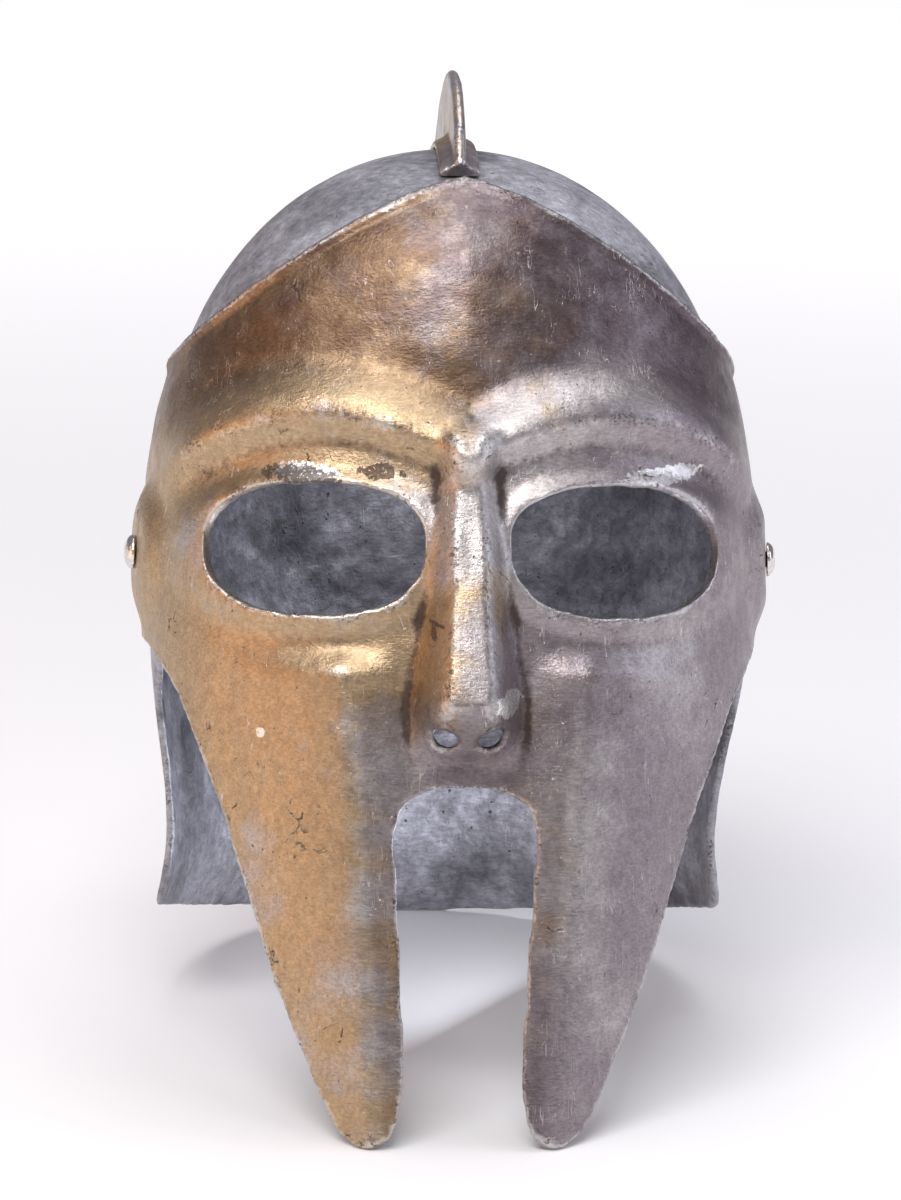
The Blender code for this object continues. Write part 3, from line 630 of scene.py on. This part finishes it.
class Tree:
    """Short words for building a node tree."""

    def __init__(self, tree):
        self.tree = tree

    def add(self, kind, **settings):
        """A new node with its settings."""
        node = self.tree.nodes.new(kind)
        for name, value in settings.items():
            setattr(node, name, value)
        return node

    def link(self, source, target):
        """Joins an output to an input."""
        self.tree.links.new(source, target)

    def put(self, socket, value):
        """Links a socket, or sets its value."""
        if isinstance(value, bpy.types.NodeSocket):
            self.link(value, socket)
        else:
            socket.default_value = value

    def stored(self, name):
        """A value that the mesh holds at each point."""
        return self.add("ShaderNodeAttribute", attribute_name=name).outputs["Fac"]

    def grey(self, value):
        """A colour with one value in all its channels."""
        node = self.add("ShaderNodeCombineColor")
        for channel in node.inputs:
            self.link(value, channel)
        return node.outputs[0]

    def vector(self, operation, first, second=None):
        """Maths on vectors. The second value of SCALE is a number."""
        node = self.add("ShaderNodeVectorMath", operation=operation)
        self.put(node.inputs[0], first)
        if second is not None:
            self.put(node.inputs["Scale" if operation == "SCALE" else 1], second)
        return node.outputs["Value" if operation == "LENGTH" else 0]

    def maths(self, operation, first, second=0.0, clamp=False):
        """Maths on numbers or sockets."""
        node = self.add("ShaderNodeMath", operation=operation, use_clamp=clamp)
        self.put(node.inputs[0], first)
        self.put(node.inputs[1], second)
        return node.outputs[0]

    def mix(self, share, first, second, blend="MIX"):
        """Two colours mixed by a share."""
        node = self.add("ShaderNodeMix", data_type="RGBA", blend_type=blend)
        self.put(node.inputs["Factor"], share)
        self.put(node.inputs[6], first)
        self.put(node.inputs[7], second)
        return node.outputs[2]

    def ramp(self, value, low, high, to_low=0.0, to_high=1.0):
        """Smoothly maps low..high to to_low..to_high."""
        node = self.add("ShaderNodeMapRange", interpolation_type="SMOOTHSTEP")
        self.put(node.inputs["Value"], value)
        numbers = {"From Min": low, "From Max": high, "To Min": to_low, "To Max": to_high}
        for name, number in numbers.items():
            self.put(node.inputs[name], number)
        return node.outputs[0]

    def cloud(self, vector, scale, detail=4.0, rough=0.55, distort=0.0):
        """Noise between 0 and 1. Scale counts lumps per metre."""
        node = self.add("ShaderNodeTexNoise")
        self.put(node.inputs["Vector"], vector)
        numbers = {"Scale": scale, "Detail": detail, "Roughness": rough, "Distortion": distort}
        for name, number in numbers.items():
            self.put(node.inputs[name], number)
        return node.outputs["Fac"]

    def stretched(self, vector, factors=(1.0, 1.0, 1.0), turn=(0.0, 0.0, 0.0)):
        """A place turned and then scaled, for a pattern that runs one way."""
        node = self.add("ShaderNodeMapping")
        self.put(node.inputs["Vector"], vector)
        node.inputs["Rotation"].default_value = turn
        node.inputs["Scale"].default_value = factors
        return node.outputs[0]


def new_group(name, inputs, outputs):
    """A shader node group with named sockets. Returns its tree helper, inputs and outputs."""
    group = bpy.data.node_groups.new(name, "ShaderNodeTree")
    for label, kind, default in inputs:
        socket = group.interface.new_socket(label, in_out="INPUT", socket_type=kind)
        if default is not None:
            socket.default_value = default
    for label, kind in outputs:
        group.interface.new_socket(label, in_out="OUTPUT", socket_type=kind)
    tree = Tree(group)
    return tree, tree.add("NodeGroupInput").outputs, tree.add("NodeGroupOutput").inputs


def grain_group():
    """Hand worked cast surface: a height, fine pits and brushed streaks."""
    tree, given, out = new_group(
        "hand worked grain",
        (("Vector", "NodeSocketVector", None), ("Coarseness", "NodeSocketFloat", 1.0)),
        (("Height", "NodeSocketFloat"), ("Pits", "NodeSocketFloat"), ("Streaks", "NodeSocketFloat")),
    )
    place = tree.vector("SCALE", given["Vector"], given["Coarseness"])
    skin = tree.cloud(place, 900.0, detail=5.0, rough=0.62)
    swell = tree.cloud(place, 170.0, detail=3.0, rough=0.5)
    lengthwise = tree.stretched(place, (0.24, 0.8, 1.0), (0.0, 0.22, 0.1))
    brushed = tree.cloud(lengthwise, 1250.0, detail=4.0, rough=0.65, distort=0.6)
    slanting = tree.stretched(place, (0.7, 1.0, 0.35), (0.0, 0.75, 0.3))
    crossed = tree.cloud(slanting, 820.0, detail=3.0, rough=0.6, distort=0.8)
    dots = tree.cloud(place, 620.0, detail=2.0, rough=0.5)
    pits = tree.ramp(dots, 0.30, 0.22)
    streaks = tree.maths("ADD", tree.maths("MULTIPLY", brushed, 0.68), tree.maths("MULTIPLY", crossed, 0.32))
    height = tree.maths("ADD", tree.maths("MULTIPLY", skin, 0.5), tree.maths("MULTIPLY", swell, 0.9))
    height = tree.maths("ADD", height, tree.maths("MULTIPLY", streaks, 0.55))
    height = tree.maths("SUBTRACT", height, tree.maths("MULTIPLY", pits, 0.9))
    tree.link(height, out["Height"])
    tree.link(pits, out["Pits"])
    tree.link(streaks, out["Streaks"])
    return tree.tree


def scratch_group():
    """Sparse fine scratches and short hair cracks, each as a mask."""
    tree, given, out = new_group(
        "scratches and cracks",
        (("Vector", "NodeSocketVector", None), ("Amount", "NodeSocketFloat", 0.5)),
        (("Scratches", "NodeSocketFloat"), ("Cracks", "NodeSocketFloat")),
    )
    place = given["Vector"]
    marks = []
    for turn, size in (((0.0, 0.9, 0.2), 55.0), ((0.3, -0.6, 0.0), 80.0), ((0.2, 0.2, 0.7), 65.0)):
        lane = tree.stretched(place, (1.0, 0.5, 0.07), turn)
        line = tree.cloud(lane, 8.0 * size, detail=1.0, rough=0.4, distort=0.3)
        thin = tree.ramp(tree.maths("ABSOLUTE", tree.maths("SUBTRACT", line, 0.5)), 0.012, 0.002)
        where = tree.ramp(tree.cloud(place, size, detail=2.0), 0.60, 0.66)
        marks.append(tree.maths("MULTIPLY", thin, where))
    joined = tree.maths("MAXIMUM", tree.maths("MAXIMUM", marks[0], marks[1]), marks[2])
    tree.link(tree.maths("MULTIPLY", joined, given["Amount"], clamp=True), out["Scratches"])

    shake = tree.add("ShaderNodeTexNoise")
    tree.link(place, shake.inputs["Vector"])
    shake.inputs["Scale"].default_value = 210.0
    shake.inputs["Detail"].default_value = 4.0
    bent = tree.vector("ADD", place, tree.vector("SCALE", shake.outputs["Color"], 0.007))
    cells = tree.add("ShaderNodeTexVoronoi", feature="DISTANCE_TO_EDGE")
    tree.link(bent, cells.inputs["Vector"])
    cells.inputs["Scale"].default_value = 95.0
    thin = tree.ramp(cells.outputs["Distance"], 0.045, 0.010)
    where = tree.ramp(tree.cloud(place, 48.0, detail=3.0, rough=0.6), 0.60, 0.68)
    broken = tree.ramp(tree.cloud(place, 330.0, detail=2.0), 0.42, 0.56)
    cracks = tree.maths("MULTIPLY", tree.maths("MULTIPLY", thin, where), broken)
    tree.link(tree.maths("MULTIPLY", cracks, given["Amount"], clamp=True), out["Cracks"])
    return tree.tree


def wear_group():
    """Turns proud and sunk into ragged masks of rubbed metal and of dark wash, with chipped edges."""
    tree, given, out = new_group(
        "wear and wash",
        (
            ("Vector", "NodeSocketVector", None),
            ("Proud", "NodeSocketFloat", 0.0),
            ("Sunk", "NodeSocketFloat", 0.0),
            ("Rub", "NodeSocketFloat", 0.5),
            ("Dirt", "NodeSocketFloat", 0.5),
        ),
        (("Bright", "NodeSocketFloat"), ("Wash", "NodeSocketFloat")),
    )
    place = given["Vector"]
    ragged = tree.maths("SUBTRACT", tree.cloud(place, 420.0, detail=6.0, rough=0.7), 0.5)
    broad = tree.cloud(place, 60.0, detail=3.0)
    rub = tree.maths("ADD", given["Proud"], tree.maths("MULTIPLY", ragged, 1.5))
    rub = tree.maths("ADD", rub, tree.maths("MULTIPLY", tree.maths("SUBTRACT", broad, 0.5), 1.1))
    bright = tree.maths("MULTIPLY", tree.ramp(rub, 0.45, 0.95), given["Rub"], clamp=True)

    flake = tree.cloud(place, 760.0, detail=4.0, rough=0.7)
    patchy = tree.cloud(place, 110.0, detail=3.0, rough=0.6)
    chips = tree.maths("MULTIPLY", tree.ramp(flake, 0.50, 0.60), tree.ramp(patchy, 0.44, 0.58))
    chips = tree.maths("MULTIPLY", chips, tree.ramp(given["Proud"], 0.22, 0.60))
    dirt = tree.maths("ADD", given["Sunk"], tree.maths("MULTIPLY", ragged, 0.8))
    speck = tree.ramp(tree.cloud(place, 800.0, detail=3.0, rough=0.6), 0.63, 0.72)
    speck = tree.maths("MULTIPLY", speck, tree.ramp(broad, 0.45, 0.62))
    dirt = tree.maths("ADD", tree.ramp(dirt, 0.25, 0.80), tree.maths("MULTIPLY", speck, 0.6))
    dirt = tree.maths("MAXIMUM", dirt, tree.maths("MULTIPLY", chips, 0.85))
    tree.link(bright, out["Bright"])
    tree.link(tree.maths("MULTIPLY", dirt, given["Dirt"], clamp=True), out["Wash"])
    return tree.tree


def patch_mask(tree, place, centre, reach, size, ragged, runs=1.0):
    """A ragged patch round a point, with a reach each way. Runs below 1 draw its edge out into drips."""
    away = tree.vector("LENGTH", tree.vector("DIVIDE", tree.vector("SUBTRACT", place, centre), reach))
    edge = tree.cloud(tree.stretched(place, (1.0, runs, runs)), size, detail=4.0, rough=0.6)
    shift = tree.maths("MULTIPLY", tree.maths("SUBTRACT", edge, 0.5), ragged)
    return tree.ramp(tree.maths("ADD", away, shift), 1.0, 0.90)


def patina_and_painted_light_colour(tree, place, streaks, look):
    """The metal under its wear: random tints, pushed by side into a painted warm reflection on the -X side
    and painted cool shade on the +X side, a mottle, brushed streaks and painted shade on the brow plate and
    the cheek guards' inner strips.
    """
    axes = tree.add("ShaderNodeSeparateXYZ")
    tree.link(place, axes.inputs[0])
    # Painted light: this side bias pushes the bronze tint onto the -X side as a painted warm reflection, and
    # the mauve tint onto the +X side as painted cool shade.
    side = tree.ramp(axes.outputs["X"], -HALF_WIDTH, HALF_WIDTH, -0.5, 0.5)
    painted_light_side_bias = tree.maths("MULTIPLY", side, look["painted_light_side_bias"])
    warmth = tree.maths("SUBTRACT", tree.cloud(place, 24.0, detail=4.0, rough=0.6), painted_light_side_bias)
    colour = tree.mix(tree.ramp(warmth, 0.42, 0.64), (*look["base"], 1.0), (*look["tint"], 1.0))
    cold = tree.cloud(tree.stretched(place, turn=(0.7, 0.2, 0.0)), 19.0, detail=5.0, rough=0.6)
    cold = tree.maths("ADD", cold, painted_light_side_bias)
    colour = tree.mix(tree.ramp(cold, 0.48, 0.74), colour, (*look["shadow"], 1.0))
    mottle = tree.cloud(place, 240.0, detail=5.0, rough=0.65)
    mottle = tree.ramp(mottle, 0.3, 0.7, 1.0 - look["mottle"], 1.0 + look["mottle"])
    colour = tree.mix(1.0, colour, tree.grey(mottle), "MULTIPLY")
    colour = tree.mix(1.0, colour, tree.grey(tree.ramp(streaks, 0.38, 0.62, 0.84, 1.15)), "MULTIPLY")
    # Painted shade: the stored share darkens the brow plate and the cheek guards' inner strips by this
    # colour.
    painted_shade = tree.ramp(tree.cloud(place, 75.0, detail=5.0, rough=0.65), 0.32, 0.60, 0.62, 1.0)
    painted_shade = tree.maths("MULTIPLY", tree.stored("painted_shade"), painted_shade)
    return tree.mix(painted_shade, colour, (*look["painted_shade_tint"], 1.0), "MULTIPLY")


def metal_material(name, look, groups):
    """A worn cast metal. Look holds its colours and amounts."""
    material = bpy.data.materials.new(name)
    material.use_nodes = True
    tree = Tree(material.node_tree)
    shader = material.node_tree.nodes["Principled BSDF"]
    place = tree.add("ShaderNodeTexCoord").outputs["Object"]
    grain = tree.add("ShaderNodeGroup", node_tree=groups["grain"])
    wear = tree.add("ShaderNodeGroup", node_tree=groups["wear"])
    scratches = tree.add("ShaderNodeGroup", node_tree=groups["scratches"])
    for group in (grain, wear, scratches):
        tree.link(place, group.inputs["Vector"])
    grain.inputs["Coarseness"].default_value = look["coarseness"]
    tree.link(tree.stored("proud"), wear.inputs["Proud"])
    tree.link(tree.stored("sunk"), wear.inputs["Sunk"])
    wear.inputs["Rub"].default_value = look["rub"]
    wear.inputs["Dirt"].default_value = look["dirt"]
    scratches.inputs["Amount"].default_value = look["scratches"]

    colour = patina_and_painted_light_colour(tree, place, grain.outputs["Streaks"], look)
    bright = wear.outputs["Bright"]
    wash = wear.outputs["Wash"]
    for centre, reach in look.get("rubbed", ()):
        rubbed = patch_mask(tree, place, centre, reach, size=520.0, ragged=1.5)
        bright = tree.maths("MAXIMUM", bright, rubbed)
    for centre, reach in look.get("peeled", ()):
        peel = patch_mask(tree, place, centre, reach, size=300.0, ragged=2.2, runs=0.35)
        crumbs = tree.ramp(tree.cloud(place, 900.0, detail=3.0, rough=0.7), 0.56, 0.64, 0.82, 0.15)
        wash = tree.maths("MAXIMUM", wash, tree.maths("MULTIPLY", peel, crumbs))
    wash = tree.maths("MAXIMUM", wash, tree.maths("MULTIPLY", grain.outputs["Pits"], look["pit_dirt"]))
    wash = tree.maths("MAXIMUM", wash, scratches.outputs["Cracks"])
    colour = tree.mix(bright, colour, (*look["bright"], 1.0))
    scratched = tree.maths("MULTIPLY", scratches.outputs["Scratches"], 0.55)
    colour = tree.mix(scratched, colour, (*look["bright"], 1.0))
    colour = tree.mix(wash, colour, (*look["wash"], 1.0))
    tree.link(colour, shader.inputs["Base Color"])

    rough = tree.cloud(place, 130.0, detail=4.0, rough=0.6)
    rough = tree.ramp(rough, 0.3, 0.7, look["rough"] - 0.06, look["rough"] + 0.08)
    rough = tree.maths("SUBTRACT", rough, tree.maths("MULTIPLY", bright, 0.10))
    rough = tree.maths("ADD", rough, tree.maths("MULTIPLY", wash, 0.16), clamp=True)
    tree.link(rough, shader.inputs["Roughness"])
    metallic = tree.maths("SUBTRACT", look["metallic"], tree.maths("MULTIPLY", wash, 0.12), clamp=True)
    tree.link(metallic, shader.inputs["Metallic"])

    bump = tree.add("ShaderNodeBump")
    bump.inputs["Strength"].default_value = look["bump"]
    bump.inputs["Distance"].default_value = 0.0006
    height = grain.outputs["Height"]
    for marks, depth in (("Cracks", 0.9), ("Scratches", 0.35)):
        height = tree.maths("SUBTRACT", height, tree.maths("MULTIPLY", scratches.outputs[marks], depth))
    tree.link(height, bump.inputs["Height"])
    tree.link(bump.outputs[0], shader.inputs["Normal"])
    return material


def at_face(across, height):
    """A point of the mask's outer skin as the helmet stands, from its place as worn."""
    bearing = FACE_BEARING * math.asin(across / FRONT_DEPTH)
    radius = float(mask_outer_radius(bearing, height))
    return WORN @ Vector((radius * math.sin(bearing), -radius * math.cos(bearing), height))


def pewter_look(finish):
    """The mask's finish, with the marks of its own wear."""
    eye_top = EYE_Z + EYE_OVER
    return {
        "base": finish.pewter,
        "tint": finish.bronze,
        "shadow": finish.mauve,
        # Painted light: how strongly the -X side gets a painted warm reflection and the +X side painted cool
        # shade.
        "painted_light_side_bias": 0.42,
        "painted_shade_tint": finish.painted_shade_tint,
        "wash": finish.wash,
        "bright": finish.bright,
        "coarseness": 1.0,
        "rub": 0.5,
        "dirt": 0.95,
        "scratches": 0.85,
        "mottle": 0.09,
        "pit_dirt": 0.7,
        "rough": 0.36,
        "metallic": 0.92,
        "bump": 0.55,
        # Each mark has a centre and its reach across, in depth and upward
        "rubbed": (
            (at_face(0.0125, -NOSE_TIP), (0.006, 0.02, 0.0045)),
            (at_face(-EYE_X, eye_top + 0.0045), (0.012, 0.02, 0.003)),
            (at_face(0.066, eye_top + 0.006), (0.020, 0.02, 0.003)),
            (at_face(-0.066, -0.065), (0.0016, 0.01, 0.0019)),
        ),
        "peeled": (
            (at_face(-EYE_X, eye_top + 0.003), (0.014, 0.02, 0.0035)),
            (at_face(-0.030, eye_top + 0.004), (0.008, 0.02, 0.0025)),
            (at_face(-0.0100, -0.0285), (0.0026, 0.02, 0.0007)),
            (at_face(-0.0112, -0.0310), (0.0008, 0.02, 0.0024)),
        ),
    }


def casting_look(finish):
    """The bowl's rougher and darker finish."""
    return {
        "base": finish.casting,
        "tint": tuple(0.58 * channel for channel in finish.casting),
        "shadow": tuple(0.26 * channel for channel in finish.casting),
        "painted_light_side_bias": 0.0,
        "painted_shade_tint": finish.painted_shade_tint,
        "wash": finish.wash,
        "bright": tuple(0.8 * channel for channel in finish.bright),
        "coarseness": 0.7,
        "rub": 0.35,
        "dirt": 0.9,
        "scratches": 0.5,
        "mottle": 0.22,
        "pit_dirt": 0.8,
        "rough": 0.50,
        "metallic": 0.6,
        "bump": 0.8,
    }


def rivet_look(finish):
    """Polished domes with a few rubbed marks."""
    return {
        "base": finish.rivet,
        "tint": tuple(0.86 * channel for channel in finish.rivet),
        "shadow": tuple(0.80 * channel for channel in finish.rivet),
        "painted_light_side_bias": 0.0,
        "painted_shade_tint": finish.painted_shade_tint,
        "wash": finish.wash,
        "bright": finish.bright,
        "coarseness": 1.3,
        "rub": 0.4,
        "dirt": 0.7,
        "scratches": 0.3,
        "mottle": 0.05,
        "pit_dirt": 0.2,
        "rough": 0.20,
        "metallic": 1.0,
        "bump": 0.15,
    }


class HELMET_OT_finishes(bpy.types.Operator):
    """Builds the helmet's metals"""

    bl_idname = "helmet.finishes"
    bl_label = "Finishes"

    def execute(self, context):
        finish = context.scene.helmet_finish
        groups = {"grain": grain_group(), "scratches": scratch_group(), "wear": wear_group()}
        metal_material("worn pewter", pewter_look(finish), groups)
        metal_material("rough casting", casting_look(finish), groups)
        metal_material("polished rivet", rivet_look(finish), groups)
        return {"FINISHED"}


class HELMET_OT_mask(bpy.types.Operator):
    """Builds the face mask from its CAD solid, with smooth skins and rounded edges"""

    bl_idname = "helmet.mask"
    bl_label = "Face mask"

    def execute(self, context):
        surface = context.scene.helmet_surface
        piece = fine_copy("face_mask", "cast_face_mask", surface.mask_grain)
        weave, _ = snap_to_skins(piece, lambda worn: onto_skins(worn, mask_outer_radius, mask_inner_radius))
        points = points_of(piece)
        swell = lumpy(points, size=0.022, seed=3.0) + 0.5 * lumpy(points, size=0.009, seed=8.0)
        points = points + normals_of(piece) * (surface.lumps * swell)[:, None]
        set_down(points)
        set_points(piece, points)
        worn = moved(points, WORN.inverted())
        # Painted shade: stores where the brow plate and the cheek guards' inner strips are darkened.
        write_attribute(piece, "painted_shade", painted_shade_share(worn[:, 0], worn[:, 2]))
        mark_wear(piece, weave, reach=14, depth=0.0008)
        settle(piece, bpy.data.materials["worn pewter"], "worn_pewter", "face_mask")
        return {"FINISHED"}


class HELMET_OT_bowl(bpy.types.Operator):
    """Builds the bowl and its neck guard, rough inside"""

    bl_idname = "helmet.bowl"
    bl_label = "Bowl and neck guard"

    def execute(self, context):
        surface = context.scene.helmet_surface
        piece = fine_copy("skull_and_neck_guard", "cast_bowl_and_neck_guard", surface.bowl_grain)
        facing = normals_of(piece) @ np.array(WORN.to_3x3())
        weave, edge = snap_to_skins(piece, lambda worn: onto_bowl(worn, facing))
        points = points_of(piece)
        worn = moved(points, WORN.inverted())
        angle = np.arctan2(worn[:, 0], -worn[:, 1])
        middle = 0.5 * (bowl_radius(angle, worn[:, 2]) + bowl_inner_radius(angle, worn[:, 2]))
        inside = smooth_step((middle - np.hypot(worn[:, 0], worn[:, 1])) / (0.4 * WALL))
        swell = lumpy(points, size=0.014, seed=5.0) + 0.6 * lumpy(points, size=0.006, seed=12.0)
        depth = surface.rough_cast * inside * np.clip(swell - 0.1, -0.8, 0.4)
        depth = depth + 0.35 * surface.lumps * swell * (1.0 - inside)
        points = points + normals_of(piece) * (depth * (1.0 - 0.85 * edge))[:, None]
        set_down(points)
        set_points(piece, points)
        mark_wear(piece, weave, reach=10, depth=0.0012)
        settle(piece, bpy.data.materials["rough casting"], "rough_casting", "skull_and_neck_guard")
        return {"FINISHED"}


class HELMET_OT_comb(bpy.types.Operator):
    """Builds the low comb on the bowl"""

    bl_idname = "helmet.comb"
    bl_label = "Comb"

    def execute(self, context):
        surface = context.scene.helmet_surface
        piece = fine_copy("crest_comb", "cast_crest_comb", 1.3 * surface.small_grain)
        weave = Weave(piece)
        points = weave.soften(points_of(piece), rounds=5)
        swell = lumpy(points, size=0.012, seed=6.0)
        points = points + normals_of(piece) * (0.5 * surface.lumps * swell)[:, None]
        set_points(piece, points)
        mark_wear(piece, weave, reach=14, depth=0.0006)
        settle(piece, bpy.data.materials["worn pewter"], "worn_pewter", "crest_comb")
        return {"FINISHED"}


class HELMET_OT_fasteners(bpy.types.Operator):
    """Builds the temple rivets and the studs"""

    bl_idname = "helmet.fasteners"
    bl_label = "Rivets and studs"

    def execute(self, context):
        grain = context.scene.helmet_surface.small_grain
        studs = [name for name in frame["nodes"] if name.startswith("skull_stud")]
        rivets = [name for name in frame["nodes"] if name.startswith("temple_rivet")]
        for name in sorted(rivets) + sorted(studs):
            polished = name in rivets
            piece = fine_copy(name, f"dome_{name}", 0.6 * grain)
            weave = Weave(piece)
            set_points(piece, weave.soften(points_of(piece), rounds=6))
            mark_wear(piece, weave, reach=12, depth=0.0005)
            material = "polished rivet" if polished else "rough casting"
            settle(piece, bpy.data.materials[material], material.replace(" ", "_"), name)
        return {"FINISHED"}


def soft_light(name, place, aim, size, power, colour):
    """An area light that faces a point."""
    lamp = bpy.data.lights.new(name, "AREA")
    lamp.shape = "RECTANGLE"
    lamp.size, lamp.size_y = size
    lamp.energy = power
    lamp.color = colour
    light = bpy.data.objects.new(name, lamp)
    light.location = place
    light.visible_camera = False
    light.rotation_euler = (Vector(aim) - Vector(place)).to_track_quat("-Z", "Y").to_euler()
    bpy.context.scene.collection.objects.link(light)


class HELMET_OT_stage(bpy.types.Operator):
    """Sets the pale floor, the soft lights and the camera"""

    bl_idname = "helmet.stage"
    bl_label = "Stage"

    def execute(self, context):
        scene = context.scene
        stage = scene.helmet_stage
        bpy.ops.mesh.primitive_plane_add(size=FLOOR_SIZE)
        floor = context.active_object
        floor.name = "floor"
        pale = bpy.data.materials.new("pale floor")
        pale.use_nodes = True
        shader = pale.node_tree.nodes["Principled BSDF"]
        shader.inputs["Base Color"].default_value = (*stage.floor, 1.0)
        shader.inputs["Roughness"].default_value = 0.9
        tree = Tree(pale.node_tree)
        reach = tree.vector("LENGTH", tree.add("ShaderNodeTexCoord").outputs["Object"])
        tree.link(tree.ramp(reach, *FLOOR_GLOW), shader.inputs["Emission Strength"])
        shader.inputs["Emission Color"].default_value = (1.0, 1.0, 1.0, 1.0)
        floor.data.materials.append(pale)

        world = bpy.data.worlds.new("studio")
        world.use_nodes = True
        sky = world.node_tree.nodes["Background"]
        sky.inputs["Color"].default_value = SKY_COLOUR
        sky.inputs["Strength"].default_value = SKY_STRENGTH
        scene.world = world

        for light in LIGHTS:
            soft_light(*light)

        camera = bpy.data.objects.new("camera", bpy.data.cameras.new("camera"))
        scene.collection.objects.link(camera)
        camera.data.sensor_fit = "VERTICAL"
        camera.data.sensor_height = SENSOR
        camera.data.lens = LENS
        level = math.cos(stage.rise)
        sideways, forward = math.sin(stage.bearing) * level, -math.cos(stage.bearing) * level
        away = Vector((sideways, forward, math.sin(stage.rise)))
        camera.location = Vector(AIM) + away * stage.distance
        look = (-away).to_track_quat("-Z", "Y")
        camera.rotation_euler = (look.to_matrix() @ Matrix.Rotation(stage.roll, 3, "Z")).to_euler()
        camera.data.clip_start = CLIP_START
        scene.camera = camera
        scene.view_settings.view_transform = "Standard"
        return {"FINISHED"}


class HELMET_PT_panel(bpy.types.Panel):
    """Shows the helmet's settings and build steps in the sidebar"""

    bl_idname = "HELMET_PT_panel"
    bl_label = "Gladiator Helmet"
    bl_space_type = "VIEW_3D"
    bl_region_type = "UI"
    bl_category = "Helmet"

    def draw(self, context):
        layout = self.layout
        for setting, group in SETTINGS:
            for name in group.__annotations__:
                layout.prop(getattr(context.scene, setting), name)
        for operator in STEPS:
            layout.operator(operator.bl_idname)


STEPS = (
    HELMET_OT_stage,
    HELMET_OT_finishes,
    HELMET_OT_mask,
    HELMET_OT_bowl,
    HELMET_OT_comb,
    HELMET_OT_fasteners,
)
SETTINGS = (("helmet_surface", HelmetSurface), ("helmet_finish", HelmetFinish), ("helmet_stage", HelmetStage))


def register():
    """Registers the settings, the steps and the panel."""
    for name, group in SETTINGS:
        bpy.utils.register_class(group)
        setattr(bpy.types.Scene, name, PointerProperty(type=group))
    for operator in STEPS:
        bpy.utils.register_class(operator)
    bpy.utils.register_class(HELMET_PT_panel)


def unregister():
    """Takes them out again."""
    bpy.utils.unregister_class(HELMET_PT_panel)
    for operator in reversed(STEPS):
        bpy.utils.unregister_class(operator)
    for name, group in reversed(SETTINGS):
        delattr(bpy.types.Scene, name)
        bpy.utils.unregister_class(group)


def main():
    """Dresses the helmet."""
    register()
    bpy.ops.helmet.stage()
    bpy.ops.helmet.finishes()
    bpy.ops.helmet.mask()
    bpy.ops.helmet.bowl()
    bpy.ops.helmet.comb()
    bpy.ops.helmet.fasteners()


if __name__ == "__main__":
    main()
